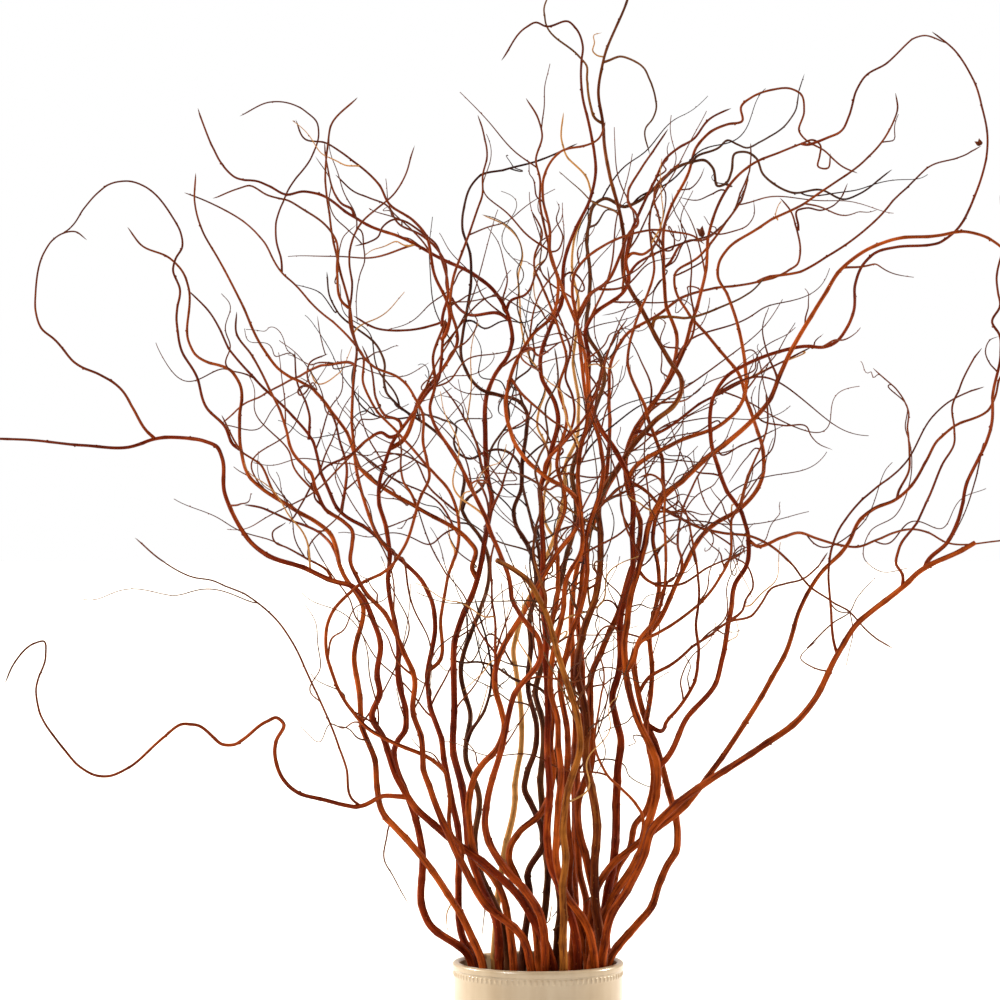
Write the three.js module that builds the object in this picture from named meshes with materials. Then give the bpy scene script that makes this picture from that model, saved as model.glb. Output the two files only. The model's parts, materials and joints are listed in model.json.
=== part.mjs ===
// Curly willow stems standing in a glazed vase, in millimetres, +Z up.
// The origin is the centre of the vase's underside. -Y is the front.
//
// Each stem is drawn by hand as a front elevation: points [x, z] on the plane y = 0, seen from EYE.
// A point that lies nearer or farther than that plane is carried along its line of sight, so the
// front elevation stays as it is drawn whatever depth the stem takes.
import * as THREE from "three";

// Vase
const VASE_HEIGHT = 240;
const VASE_RADIUS = 93;
const LIP_RADIUS = 94.5;
const LIP_HEIGHT = 11;
const WALL = 7;
const FLOOR = 10;
const EDGE = 1.5;
const FOOT_CHAMFER = 3;
const VASE_SEGMENTS = 56;

// Elevation
const EYE = { x: -42, y: -4000, z: 747 };

// Stems
const GAP = 0.35;
const MOUTH_LEVEL = VASE_HEIGHT + 4;
const BUTT_SPREAD = 0.8;
const CURL_LENGTH = 150;
const CURL_DEPTH = 9;
const CURL_START = 60;
const CURL_TURN = 2.4;
const TAPER_POWER = 0.8;
const DEPTH_POWER = 1.15;
const INSIDE_LEVELS = [88, 166];

// Mesh of a stem
const DRAW_STEP = 4;
const SAG = 1.1;
const SHORTEST = 13;
const LONGEST = 66;
const LEAST_STRETCH = 2.6;
const CROWDED = 1.2;
const FIVE_SIDED_FROM = 2.2;
const FOUR_SIDED_FROM = 1.15;

// Forks: lengths as multiples of the corner radius of the tube.
const COLLAR = 1.1;
const COLLAR_GIRTH = 1.2;
const ROOT_GIRTH = 0.8;
const ROOT_ROOM = 1.35;
const SPUR = 1.9;
const SPUR_RAKE = 0.9;
const LEAST_SIDE = 4;
const SIDE_NUDGE = 6;

// Settling
const SETTLE_ROUNDS = 400;
const LEAST_ROUNDS = 60;
const RELIST_ROUNDS = 20;
const CLEAR_ENOUGH = 0.3;
const CLOSE = 0.25;
const EASE = 0.3;
const STRAIGHTEN = 0.04;
const PUSH_SHARES = [0.12, 0.3, 0.75, 0.3, 0.12];
const CELL = 50;
const CELL_MARGIN = 9;
const CHAIN_KEY = 1000;

// Finishes
const BARKS = {
  russet_bark: { color: "#6d2b10", roughness: 0.55 },
  dark_bark: { color: "#45200f", roughness: 0.6 },
  olive_bark: { color: "#5b4223", roughness: 0.6 },
};
const GLAZE = { color: "#c9b28a", roughness: 0.35 };

// Every stem: the bark, the diameters at the butt and the tip, the depth y at the mouth and the tip,
// the front elevation from the mouth up, and its branches, each with the point that it leaves from.
const STEMS = [
  {
    name: "left_low_sweep_stem", bark: "russet_bark", thick: [10, 2.2], depth: [-62, -70],
    route: [
      [16, 244], [6, 268], [-4, 285], [-17, 306], [-38, 328], [-68, 352], [-99, 377], [-131, 408],
      [-151, 431], [-161, 461], [-172, 489], [-184, 510], [-176, 530], [-177, 555], [-173, 582],
      [-186, 625], [-203, 651], [-226, 659], [-250, 669], [-283, 679], [-305, 692], [-324, 708],
      [-335, 731], [-345, 754], [-346, 782], [-352, 803], [-368, 812], [-390, 816], [-423, 815],
      [-448, 807], [-488, 807], [-519, 811], [-552, 814], [-592, 814], [-640, 818], [-672, 812],
    ],
    forks: [
      {
        at: [-423, 815], thick: [3.4, 1.7], depth: -110,
        route: [
          [-441, 838], [-459, 867], [-479, 882], [-510, 898], [-530, 921], [-548, 937], [-555, 965],
          [-550, 991], [-545, 1019], [-530, 1037], [-507, 1041], [-496, 1033],
        ],
      },
      {
        at: [-142, 418], thick: [5.4, 1.8], depth: -150,
        route: [
          [-166, 422], [-189, 412], [-206, 411], [-229, 418], [-262, 425], [-283, 445], [-289, 475],
          [-280, 502], [-290, 508], [-312, 493], [-340, 475], [-362, 490], [-385, 503], [-415, 483],
          [-452, 452], [-480, 443], [-505, 455], [-532, 493], [-550, 530], [-540, 575], [-544, 591],
          [-576, 567], [-588, 545],
        ],
        forks: [
          {
            at: [-197, 411], thick: [3, 1.6], depth: -40,
            route: [
              [-206, 437], [-215, 471], [-229, 501], [-246, 537], [-262, 573], [-287, 612],
              [-318, 635], [-352, 657], [-384, 664], [-417, 683], [-443, 706],
            ],
          },
        ],
      },
      {
        at: [-228, 660], thick: [3, 1.6], depth: -95,
        route: [[-243, 674], [-267, 690], [-290, 700], [-290, 714], [-278, 722]],
      },
    ],
  },
  {
    name: "left_upright_stem", bark: "russet_bark", thick: [9.5, 2.2], depth: [4, -20],
    route: [
      [-76, 244], [-86, 252], [-109, 272], [-124, 289], [-125, 326], [-128, 371], [-141, 416],
      [-154, 444], [-159, 473], [-146, 494], [-146, 515], [-154, 544], [-154, 580], [-161, 625],
      [-165, 669], [-165, 706], [-174, 740], [-175, 768], [-163, 803], [-147, 829], [-128, 858],
      [-110, 881], [-109, 910], [-104, 944], [-118, 939], [-152, 934], [-182, 937], [-201, 950],
    ],
    forks: [
      {
        at: [-165, 690], thick: [4.4, 1.8], depth: 110,
        route: [
          [-177, 716], [-189, 738], [-199, 773], [-206, 815], [-203, 850], [-204, 878], [-199, 905],
          [-206, 940], [-204, 975], [-207, 1004], [-201, 1040], [-186, 1061], [-166, 1076],
          [-150, 1096], [-135, 1136],
        ],
        forks: [
          {
            at: [-201, 893], thick: [3.4, 1.8], depth: 190,
            route: [
              [-226, 895], [-245, 891], [-281, 877], [-298, 863], [-316, 857], [-332, 846],
              [-349, 832],
            ],
          },
        ],
      },
      {
        at: [-161, 805], thick: [5, 1.8], depth: 60,
        route: [
          [-141, 838], [-128, 860], [-109, 884], [-98, 903], [-88, 926], [-94, 950], [-94, 975],
          [-90, 1000], [-78, 1032], [-72, 1054], [-62, 1078], [-62, 1100], [-57, 1118], [-59, 1150],
          [-66, 1170],
        ],
      },
      {
        at: [-108, 925], thick: [4.2, 1.8], depth: -130,
        route: [
          [-96, 950], [-109, 983], [-119, 1016], [-126, 1042], [-144, 1061], [-163, 1073],
          [-172, 1090], [-199, 1116], [-229, 1139], [-256, 1145], [-266, 1166],
        ],
      },
      {
        at: [-154, 818], thick: [4, 1.8], depth: -60,
        route: [
          [-168, 821], [-185, 815], [-206, 797], [-234, 783], [-240, 772], [-258, 748], [-268, 737],
          [-275, 722],
        ],
      },
      {
        at: [-150, 824], thick: [3.6, 1.8], depth: -110,
        route: [[-168, 838], [-178, 855], [-180, 875], [-183, 895], [-193, 918]],
      },
    ],
  },
  {
    name: "left_arching_stem", bark: "russet_bark", thick: [9, 2], depth: [-34, 40],
    route: [
      [-62, 244], [-72, 264], [-86, 291], [-100, 317], [-128, 356], [-156, 388], [-174, 415],
      [-179, 454], [-192, 495], [-197, 535], [-203, 565], [-199, 600], [-196, 634], [-212, 657],
      [-219, 688], [-235, 716], [-265, 735], [-300, 757], [-323, 783], [-329, 819], [-328, 849],
      [-330, 880], [-359, 898], [-382, 915], [-384, 950], [-386, 985], [-401, 1010], [-435, 1028],
      [-450, 1047],
    ],
    forks: [
      {
        at: [-327, 803], thick: [3.6, 1.6], depth: -60,
        route: [
          [-343, 826], [-366, 849], [-376, 882], [-391, 908], [-397, 945], [-394, 978],
          [-403, 1004], [-391, 1028], [-399, 1054], [-418, 1074], [-439, 1095], [-462, 1096],
          [-492, 1076], [-506, 1056], [-529, 1038],
        ],
      },
      {
        at: [-214, 667], thick: [3.8, 2.4], depth: 70,
        route: [[-230, 702], [-253, 713], [-278, 726], [-300, 737], [-323, 740]],
      },
      {
        at: [-270, 738], thick: [3.6, 1.8], depth: -60,
        route: [
          [-280, 742], [-288, 752], [-302, 777], [-312, 788], [-325, 800], [-338, 822], [-349, 840],
        ],
      },
    ],
  },
  {
    name: "left_diagonal_stem", bark: "russet_bark", thick: [9, 2], depth: [36, 150],
    route: [
      [-74, 244], [-82, 262], [-84, 288], [-88, 320], [-86, 350], [-90, 391], [-99, 437],
      [-109, 483], [-118, 520], [-122, 560], [-115, 596], [-114, 625], [-124, 652], [-151, 681],
      [-177, 705], [-212, 728], [-229, 756], [-243, 792], [-258, 824], [-288, 858], [-321, 890],
      [-343, 922], [-361, 953], [-385, 978],
    ],
    forks: [
      {
        at: [-122, 560], thick: [4.6, 1.8], depth: 290,
        route: [
          [-111, 600], [-103, 636], [-98, 664], [-89, 694], [-89, 726], [-98, 755], [-122, 784],
          [-152, 817], [-176, 846], [-192, 874], [-192, 904], [-212, 926], [-238, 950], [-262, 979],
          [-283, 999], [-300, 1030], [-330, 1057], [-358, 1072], [-390, 1085],
        ],
        forks: [
          {
            at: [-283, 999], thick: [2.6, 1.6], depth: 250,
            route: [
              [-288, 1034], [-281, 1075], [-262, 1105], [-246, 1130], [-241, 1159], [-257, 1174],
              [-291, 1185], [-329, 1169],
            ],
          },
        ],
      },
      {
        at: [-217, 735], thick: [3.8, 1.8], depth: 190,
        route: [
          [-213, 765], [-212, 785], [-219, 805], [-223, 828], [-233, 850], [-247, 868], [-253, 885],
          [-247, 902], [-230, 908],
        ],
      },
      {
        at: [-253, 812], thick: [3.4, 1.8], depth: 60,
        route: [[-250, 830], [-252, 848], [-260, 862], [-266, 884], [-270, 910]],
      },
    ],
  },
  {
    name: "front_crossing_stem", bark: "russet_bark", thick: [9.5, 2], depth: [-74, -190],
    route: [
      [-8, 244], [-15, 264], [-38, 284], [-62, 308], [-78, 336], [-94, 366], [-106, 400],
      [-121, 437], [-126, 475], [-138, 517], [-137, 552], [-150, 585], [-168, 620], [-192, 650],
      [-207, 680], [-206, 715], [-234, 738], [-248, 772], [-270, 800], [-281, 838], [-300, 876],
      [-315, 907], [-332, 932], [-331, 955],
    ],
    forks: [
      {
        at: [-84, 348], thick: [5, 2], depth: -260,
        route: [
          [-95, 378], [-97, 425], [-104, 449], [-128, 463], [-156, 478], [-187, 494], [-208, 518],
          [-222, 550], [-234, 586], [-229, 618], [-208, 644], [-180, 665], [-152, 686], [-142, 712],
          [-133, 745], [-120, 772], [-127, 805], [-127, 845], [-152, 879], [-184, 895], [-201, 917],
          [-206, 948], [-215, 985], [-222, 1027], [-232, 1068], [-231, 1122], [-230, 1155],
          [-218, 1172], [-199, 1192],
        ],
        forks: [
          {
            at: [-209, 958], thick: [3, 1.6], depth: -310,
            route: [
              [-221, 995], [-224, 1036], [-252, 1060], [-271, 1076], [-295, 1081], [-321, 1091],
              [-345, 1080], [-359, 1079],
            ],
          },
        ],
      },
    ],
  },
  {
    name: "centre_knotted_stem", bark: "russet_bark", thick: [9, 2.2], depth: [-52, -150],
    route: [
      [-27, 244], [-31, 265], [-35, 300], [-48, 330], [-66, 352], [-75, 385], [-77, 415],
      [-67, 448], [-44, 478], [-38, 503], [-46, 532], [-43, 570], [-23, 608], [-3, 645], [18, 684],
      [40, 718], [45, 731], [34, 754], [8, 773], [-13, 798], [-31, 822], [-33, 850], [-27, 890],
      [-10, 924], [18, 952], [22, 985], [14, 1015], [14, 1040], [5, 1075], [5, 1104], [22, 1130],
      [45, 1138], [70, 1149], [73, 1162],
    ],
    forks: [
      {
        at: [-20, 910], thick: [3.4, 1.6], depth: -190,
        route: [[-6, 906], [10, 908], [24, 917]],
      },
      {
        at: [-46, 544], thick: [4, 1.9], depth: -170,
        route: [[-49, 575], [-47, 600], [-50, 630], [-52, 655], [-50, 680], [-46, 706]],
      },
      {
        at: [9, 774], thick: [4, 1.8], depth: -180,
        route: [[27, 808], [50, 835], [60, 853], [68, 875], [76, 900], [84, 925], [98, 946]],
      },
      {
        at: [-29, 880], thick: [3.2, 1.8], depth: -40,
        route: [[-12, 862], [-2, 849], [15, 835], [30, 826], [40, 812], [42, 795], [36, 780]],
      },
    ],
  },
  {
    name: "front_leaning_stem", bark: "russet_bark", thick: [9.5, 2.6], depth: [-66, -290],
    route: [
      [8, 244], [7, 268], [-4, 305], [-30, 333], [-50, 364], [-58, 394], [-53, 430], [-38, 483],
      [-24, 535], [-8, 561], [3, 585], [-12, 613], [-30, 638], [-32, 662], [-48, 701], [-62, 739],
      [-75, 767], [-89, 793], [-105, 814], [-119, 843], [-112, 876], [-116, 905], [-103, 946],
    ],
    forks: [
      {
        at: [-106, 938], thick: [3.4, 1.7], depth: -250,
        route: [
          [-99, 968], [-104, 1000], [-114, 1030], [-149, 1047], [-168, 1053], [-179, 1034],
          [-203, 1025],
        ],
      },
    ],
  },
  {
    name: "centre_left_stem", bark: "russet_bark", thick: [10, 2], depth: [-18, 210],
    route: [
      [-43, 244], [-44, 275], [-58, 312], [-72, 345], [-79, 380], [-82, 420], [-91, 460],
      [-94, 500], [-91, 562], [-90, 595], [-77, 635], [-64, 672], [-58, 705], [-53, 745],
      [-57, 796], [-56, 835], [-54, 872], [-38, 897], [-28, 919], [-33, 950], [-48, 976],
      [-85, 1002], [-117, 1017], [-151, 1036], [-184, 1047], [-215, 1066], [-253, 1086],
      [-281, 1083], [-304, 1095], [-338, 1104], [-352, 1125], [-364, 1157], [-373, 1180],
    ],
    forks: [
      {
        at: [-68, 662], thick: [5.6, 1.9], depth: 40,
        route: [
          [-72, 697], [-91, 711], [-114, 728], [-146, 747], [-189, 775], [-204, 806], [-232, 851],
          [-257, 874], [-290, 896], [-312, 931], [-331, 973], [-351, 1011], [-371, 1044],
          [-379, 1078], [-377, 1107],
        ],
        forks: [
          {
            at: [-133, 740], thick: [3.4, 1.8], depth: -40,
            route: [[-140, 750], [-147, 762], [-151, 780], [-150, 800], [-154, 824]],
          },
        ],
      },
      {
        at: [-32, 942], thick: [4, 1.8], depth: 250,
        route: [
          [-58, 947], [-79, 952], [-98, 973], [-104, 1010], [-124, 1034], [-152, 1049],
          [-170, 1072], [-200, 1083], [-222, 1104],
        ],
      },
      {
        at: [-34, 955], thick: [3.4, 1.8], depth: 120,
        route: [[-16, 971], [-3, 997], [8, 1012], [9, 1032]],
      },
      {
        at: [-55, 772], thick: [3.6, 1.8], depth: 20,
        route: [[-60, 790], [-75, 825], [-88, 848], [-106, 874]],
      },
      {
        at: [-57, 716], thick: [3.6, 1.8], depth: -20,
        route: [[-50, 738], [-43, 758], [-30, 792], [-26, 806], [-30, 828]],
      },
      {
        at: [-202, 1057], thick: [3.2, 1.7], depth: 210,
        route: [[-215, 1070], [-226, 1100], [-232, 1115], [-235, 1140]],
      },
    ],
  },
  {
    name: "centre_looping_stem", bark: "dark_bark", thick: [8.5, 2], depth: [30, 140],
    route: [
      [-17, 244], [-14, 275], [-8, 310], [-10, 340], [4, 374], [-3, 404], [-15, 430], [-5, 465],
      [-2, 500], [-11, 535], [-8, 580], [-9, 615], [-3, 650], [-5, 680], [-20, 711], [-27, 732],
      [-18, 755], [-18, 785], [-12, 820], [-14, 847], [-38, 861], [-65, 870], [-82, 894],
      [-83, 925], [-78, 965], [-74, 1010], [-83, 1050], [-76, 1087], [-56, 1106], [-20, 1115],
      [15, 1126], [42, 1139],
    ],
    forks: [
      {
        at: [-4, 640], thick: [4.4, 1.7], depth: 300,
        route: [
          [3, 672], [-1, 700], [-10, 735], [-17, 760], [-26, 794], [-49, 803], [-78, 794],
          [-92, 808], [-92, 829], [-114, 840], [-150, 837], [-187, 842], [-205, 870], [-200, 900],
        ],
      },
    ],
  },
  {
    name: "middle_tall_stem", bark: "russet_bark", thick: [10, 1.8], depth: [-48, 60],
    route: [
      [44, 244], [41, 272], [31, 305], [16, 339], [11, 375], [14, 420], [10, 470], [10, 530],
      [9, 585], [4, 625], [6, 670], [4, 710], [2, 745], [11, 784], [18, 814], [21, 845], [10, 868],
      [2, 892], [10, 930], [26, 968], [28, 1000], [37, 1035], [56, 1075], [64, 1115], [58, 1150],
      [49, 1185], [46, 1225], [49, 1247], [38, 1272], [23, 1270], [8, 1268], [-6, 1273],
      [-20, 1260], [-34, 1245], [-42, 1230],
    ],
    forks: [
      {
        at: [14, 800], thick: [3.6, 1.7], depth: -120,
        route: [[36, 826], [40, 852], [30, 885], [36, 915], [26, 945], [14, 975], [10, 1005]],
      },
    ],
  },
  {
    name: "middle_winding_stem", bark: "russet_bark", thick: [9, 2], depth: [26, -20],
    route: [
      [0, 244], [-4, 280], [-12, 305], [-22, 330], [-31, 352], [-27, 372], [-12, 388], [2, 400],
      [10, 416], [15, 440], [13, 470], [17, 510], [8, 560], [16, 610], [24, 650], [19, 700],
      [30, 745], [20, 790], [30, 830], [22, 870], [32, 905], [20, 945], [5, 980], [-6, 1010],
      [4, 1040], [-8, 1064],
    ],
  },
  {
    name: "middle_bent_stem", bark: "dark_bark", thick: [8.5, 2], depth: [44, 60],
    route: [
      [20, 244], [24, 300], [18, 350], [26, 400], [19, 450], [20, 480], [19, 503], [12, 515],
      [-1, 541], [-22, 548], [-40, 560], [-60, 568], [-79, 567], [-100, 573],
    ],
  },
  {
    name: "middle_twin_stem", bark: "russet_bark", thick: [9, 1.9], depth: [-70, -110],
    route: [
      [62, 244], [58, 266], [42, 296], [24, 332], [19, 368], [23, 405], [22, 445], [22, 495],
      [12, 540], [17, 579], [26, 617], [30, 657], [46, 690], [47, 725], [43, 763], [44, 793],
      [54, 828], [56, 870], [50, 914], [38, 950], [25, 985], [15, 1014], [9, 1042], [1, 1070],
      [2, 1097], [-3, 1122], [4, 1152], [-8, 1178], [-14, 1188],
    ],
  },
  {
    name: "middle_arching_stem", bark: "russet_bark", thick: [9.5, 2], depth: [24, -200],
    route: [
      [54, 244], [50, 272], [36, 312], [35, 350], [31, 395], [31, 440], [33, 490], [25, 555],
      [37, 597], [48, 631], [53, 666], [51, 698], [61, 735], [72, 775], [68, 808], [56, 843],
      [51, 885], [45, 930], [38, 975], [44, 1000], [70, 1024], [98, 1038], [122, 1040], [150, 1043],
      [173, 1037], [184, 1028],
    ],
    forks: [
      {
        at: [42, 945], thick: [4.6, 2], depth: -60,
        route: [
          [56, 973], [76, 987], [90, 1014], [99, 1040], [110, 1056], [98, 1074], [103, 1094],
          [118, 1121], [130, 1138], [142, 1156],
        ],
      },
    ],
  },
  {
    name: "front_cut_stem", bark: "olive_bark", thick: [9, 5.6], depth: [-76, -210],
    route: [
      [28, 244], [26, 285], [30, 330], [28, 380], [34, 430], [47, 478], [43, 515], [32, 548],
      [18, 592], [8, 628], [-4, 649], [-24, 667], [-46, 680],
    ],
    forks: [
      {
        at: [8, 628], thick: [3.4, 1.8], depth: -320,
        route: [
          [0, 660], [-6, 700], [4, 740], [-4, 780], [10, 815], [8, 850], [22, 880], [16, 915],
        ],
      },
    ],
  },
  {
    name: "tall_leader_stem", bark: "olive_bark", thick: [11, 2.6], depth: [-40, 90],
    route: [
      [71, 244], [67, 280], [62, 330], [65, 380], [60, 425], [52, 465], [53, 510], [44, 555],
      [44, 584], [57, 620], [68, 660], [70, 700], [67, 736], [76, 765], [95, 793], [126, 833],
      [154, 857], [157, 880], [143, 904], [122, 941], [103, 976], [93, 1010], [94, 1038],
      [85, 1080], [74, 1125], [71, 1163], [66, 1195], [72, 1232], [86, 1264], [97, 1297],
      [104, 1318],
    ],
    forks: [
      {
        at: [71, 1163], thick: [3.2, 1.8], depth: 40,
        route: [
          [58, 1180], [51, 1208], [51, 1226], [34, 1244], [16, 1264], [5, 1276], [5, 1290],
          [12, 1305],
        ],
      },
      {
        at: [72, 1228], thick: [2.8, 1.7], depth: 170,
        route: [[92, 1236], [118, 1221], [124, 1200], [130, 1172], [118, 1155], [121, 1128]],
      },
      {
        at: [125, 937], thick: [3.8, 1.8], depth: 60,
        route: [[140, 948], [158, 948], [190, 955], [212, 965], [235, 975], [250, 992]],
      },
    ],
  },
  {
    name: "right_trunk_stem", bark: "russet_bark", thick: [11, 2.2], depth: [22, 40],
    route: [
      [74, 244], [73, 285], [79, 330], [86, 385], [86, 440], [92, 484], [82, 527], [89, 565],
      [91, 620], [102, 665], [105, 715], [101, 760], [90, 792], [68, 826], [57, 860], [56, 900],
      [52, 940], [80, 966], [99, 984], [97, 1016], [104, 1048], [119, 1076], [131, 1104],
      [143, 1127], [169, 1143], [186, 1164], [213, 1176],
    ],
    forks: [
      {
        at: [99, 768], thick: [5.2, 2], depth: 120,
        route: [
          [123, 788], [147, 806], [181, 822], [212, 837], [227, 857], [226, 905], [214, 956],
          [198, 996], [206, 1019], [244, 1047], [283, 1068], [312, 1089], [350, 1113], [380, 1144],
          [395, 1178], [393, 1196],
        ],
      },
      {
        at: [88, 560], thick: [4.4, 2], depth: -60,
        route: [
          [112, 590], [145, 608], [178, 638], [204, 667], [210, 700], [214, 725], [226, 760],
          [240, 800], [252, 835], [250, 865],
        ],
      },
      {
        at: [98, 985], thick: [3.6, 1.8], depth: 90,
        route: [[104, 1000], [115, 1010], [133, 1018], [166, 1031], [184, 1036], [204, 1052]],
      },
      {
        at: [97, 1012], thick: [3.4, 1.8], depth: -40,
        route: [[114, 1016], [130, 1030], [134, 1050], [128, 1075], [131, 1095], [150, 1112]],
      },
    ],
  },
  {
    name: "right_arm_stem", bark: "russet_bark", thick: [10.5, 2.6], depth: [-30, -60],
    route: [
      [60, 244], [66, 273], [81, 312], [103, 344], [119, 374], [125, 411], [130, 457], [111, 499],
      [99, 540], [96, 590], [100, 632], [114, 680], [122, 720], [136, 745], [164, 772], [195, 801],
      [234, 834], [255, 858], [270, 895], [290, 935], [310, 968], [334, 1001], [374, 1027],
      [430, 1036], [470, 1043], [506, 1028], [534, 1000], [552, 962],
    ],
    forks: [
      {
        at: [130, 453], thick: [6.6, 2], depth: 110,
        route: [
          [152, 489], [172, 518], [194, 546], [203, 585], [211, 617], [216, 653], [232, 680],
          [232, 707], [214, 748], [193, 793], [188, 834], [201, 874], [239, 902], [282, 915],
          [325, 919], [347, 952], [349, 985], [364, 1013], [400, 1026], [445, 1030], [467, 1053],
          [485, 1096], [494, 1140], [487, 1187], [464, 1236], [434, 1262],
        ],
        forks: [
          {
            at: [232, 700], thick: [3.8, 1.8], depth: 190,
            route: [
              [262, 704], [289, 710], [317, 700], [354, 696], [385, 710], [421, 714], [450, 700],
              [482, 702], [508, 702], [536, 712],
            ],
          },
          {
            at: [210, 614], thick: [3.2, 1.8], depth: 60,
            route: [[221, 618], [226, 634], [236, 650], [234, 664], [228, 675], [210, 686]],
          },
        ],
      },
      {
        at: [97, 560], thick: [5.2, 2.2], depth: -130,
        route: [
          [110, 590], [128, 612], [138, 640], [139, 690], [137, 720], [138, 748], [134, 768],
          [122, 777], [108, 772],
        ],
      },
      {
        at: [111, 671], thick: [3.6, 1.8], depth: 20,
        route: [[120, 656], [136, 652], [152, 657], [172, 667], [206, 681], [232, 693]],
      },
    ],
  },
  {
    name: "right_reaching_stem", bark: "russet_bark", thick: [10, 5.2], depth: [-58, -150],
    route: [
      [70, 244], [78, 285], [98, 322], [114, 352], [126, 386], [163, 419], [205, 451], [250, 479],
      [291, 511], [314, 545], [335, 588], [358, 617], [388, 639], [421, 669], [455, 684],
      [482, 699],
    ],
    forks: [
      {
        at: [330, 578], thick: [3.2, 1.7], depth: -95,
        route: [
          [321, 628], [321, 665], [326, 706], [350, 736], [372, 760], [405, 787], [418, 812],
          [440, 845], [470, 862], [492, 872],
        ],
      },
      {
        at: [400, 650], thick: [3.4, 1.8], depth: -220,
        route: [
          [393, 678], [404, 706], [424, 738], [440, 777], [459, 812], [455, 850], [468, 882],
          [489, 913],
        ],
      },
      {
        at: [424, 672], thick: [4.8, 2], depth: -130,
        route: [
          [450, 698], [459, 716], [466, 751], [482, 784], [499, 828], [500, 858], [507, 900],
          [507, 930], [499, 943], [508, 962], [503, 988], [514, 1040], [508, 1082],
        ],
      },
    ],
  },
  {
    name: "right_rising_stem", bark: "russet_bark", thick: [9.5, 2.2], depth: [6, 100],
    route: [
      [56, 244], [57, 290], [66, 326], [92, 352], [120, 378], [152, 402], [176, 434], [208, 474],
      [245, 532], [272, 577], [285, 618], [306, 659], [338, 695], [360, 730], [396, 749],
      [420, 776], [442, 817], [481, 840], [499, 852], [508, 880], [526, 905],
    ],
    forks: [
      {
        at: [112, 370], thick: [4.2, 1.9], depth: -120,
        route: [[114, 401], [96, 424], [72, 449], [62, 476], [64, 510], [72, 545], [66, 580]],
      },
      {
        at: [396, 749], thick: [3, 1.6], depth: 160,
        route: [[409, 783], [405, 820], [408, 846], [392, 868], [368, 892]],
      },
    ],
  },
  {
    name: "right_bowed_stem", bark: "russet_bark", thick: [9.5, 2.2], depth: [-6, 130],
    route: [
      [79, 244], [98, 269], [125, 301], [136, 336], [153, 366], [146, 411], [137, 456], [121, 497],
      [109, 543], [108, 582], [130, 611], [143, 640], [162, 676], [185, 714], [220, 737],
      [243, 765], [248, 793], [232, 843], [220, 886], [199, 912], [178, 937], [160, 962],
      [148, 992], [164, 1004], [188, 1025], [205, 1050], [225, 1085], [232, 1104],
    ],
    forks: [
      {
        at: [110, 536], thick: [4.2, 1.9], depth: -150,
        route: [[137, 558], [172, 584], [206, 610], [236, 622], [258, 650], [292, 660], [318, 690]],
      },
      {
        at: [120, 500], thick: [5, 2], depth: -120,
        route: [
          [134, 500], [147, 507], [157, 522], [167, 543], [177, 570], [174, 595], [173, 620],
          [177, 642], [174, 665], [170, 690], [166, 722], [152, 748],
        ],
      },
      {
        at: [157, 667], thick: [3.4, 1.8], depth: -180,
        route: [[154, 690], [157, 730], [165, 752], [175, 770], [190, 797]],
      },
    ],
  },
  {
    name: "right_looped_stem", bark: "russet_bark", thick: [10, 2], depth: [-12, 150],
    route: [
      [64, 244], [66, 290], [58, 329], [48, 365], [45, 418], [57, 457], [57, 510], [60, 562],
      [82, 605], [94, 645], [110, 690], [111, 722], [98, 762], [96, 800], [109, 830], [133, 861],
      [154, 897], [168, 945], [183, 993], [186, 1029], [196, 1067], [225, 1109], [279, 1134],
      [305, 1143], [312, 1133], [308, 1116], [321, 1113], [322, 1128],
    ],
    forks: [
      {
        at: [292, 1139], thick: [3.2, 1.7], depth: 60,
        route: [
          [321, 1146], [336, 1156], [348, 1195], [361, 1216], [388, 1231], [414, 1250], [433, 1259],
          [448, 1250],
        ],
      },
      {
        at: [97, 770], thick: [4, 1.8], depth: -90,
        route: [
          [118, 757], [130, 745], [148, 733], [165, 724], [200, 713], [225, 710], [245, 703],
          [272, 683], [301, 648], [336, 629], [359, 606], [390, 584],
        ],
      },
      {
        at: [104, 818], thick: [4, 1.9], depth: 150,
        route: [[125, 817], [145, 830], [175, 850], [205, 868], [235, 880], [265, 896], [300, 915]],
      },
    ],
  },
  {
    name: "right_inner_stem", bark: "russet_bark", thick: [8.5, 2], depth: [40, 30],
    route: [
      [66, 244], [72, 280], [80, 320], [88, 345], [100, 360], [107, 390], [116, 400], [126, 440],
      [126, 460], [118, 500], [124, 545], [121, 600], [133, 655], [126, 710], [140, 760],
      [128, 815], [112, 860], [98, 905], [112, 955], [128, 1000], [122, 1050], [130, 1090],
      [158, 1120],
    ],
  },
  {
    name: "right_forked_stem", bark: "russet_bark", thick: [9, 2], depth: [48, 300],
    route: [
      [46, 244], [51, 285], [45, 335], [43, 385], [40, 430], [46, 485], [50, 535], [45, 600],
      [47, 665], [58, 722], [76, 770], [76, 825], [79, 877], [90, 922], [125, 946], [152, 966],
      [199, 981], [250, 989], [286, 1005], [288, 1035], [277, 1065], [263, 1080],
    ],
    forks: [
      {
        at: [240, 988], thick: [3.6, 1.8], depth: 350,
        route: [
          [286, 999], [321, 1019], [352, 1038], [381, 1064], [402, 1089], [438, 1118], [470, 1125],
          [487, 1135],
        ],
      },
      {
        at: [284, 1044], thick: [2.8, 1.6], depth: 260,
        route: [[286, 1070], [313, 1066], [331, 1078], [340, 1096]],
      },
    ],
  },
  {
    name: "centre_far_stem", bark: "dark_bark", thick: [9, 2], depth: [58, 200],
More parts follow.
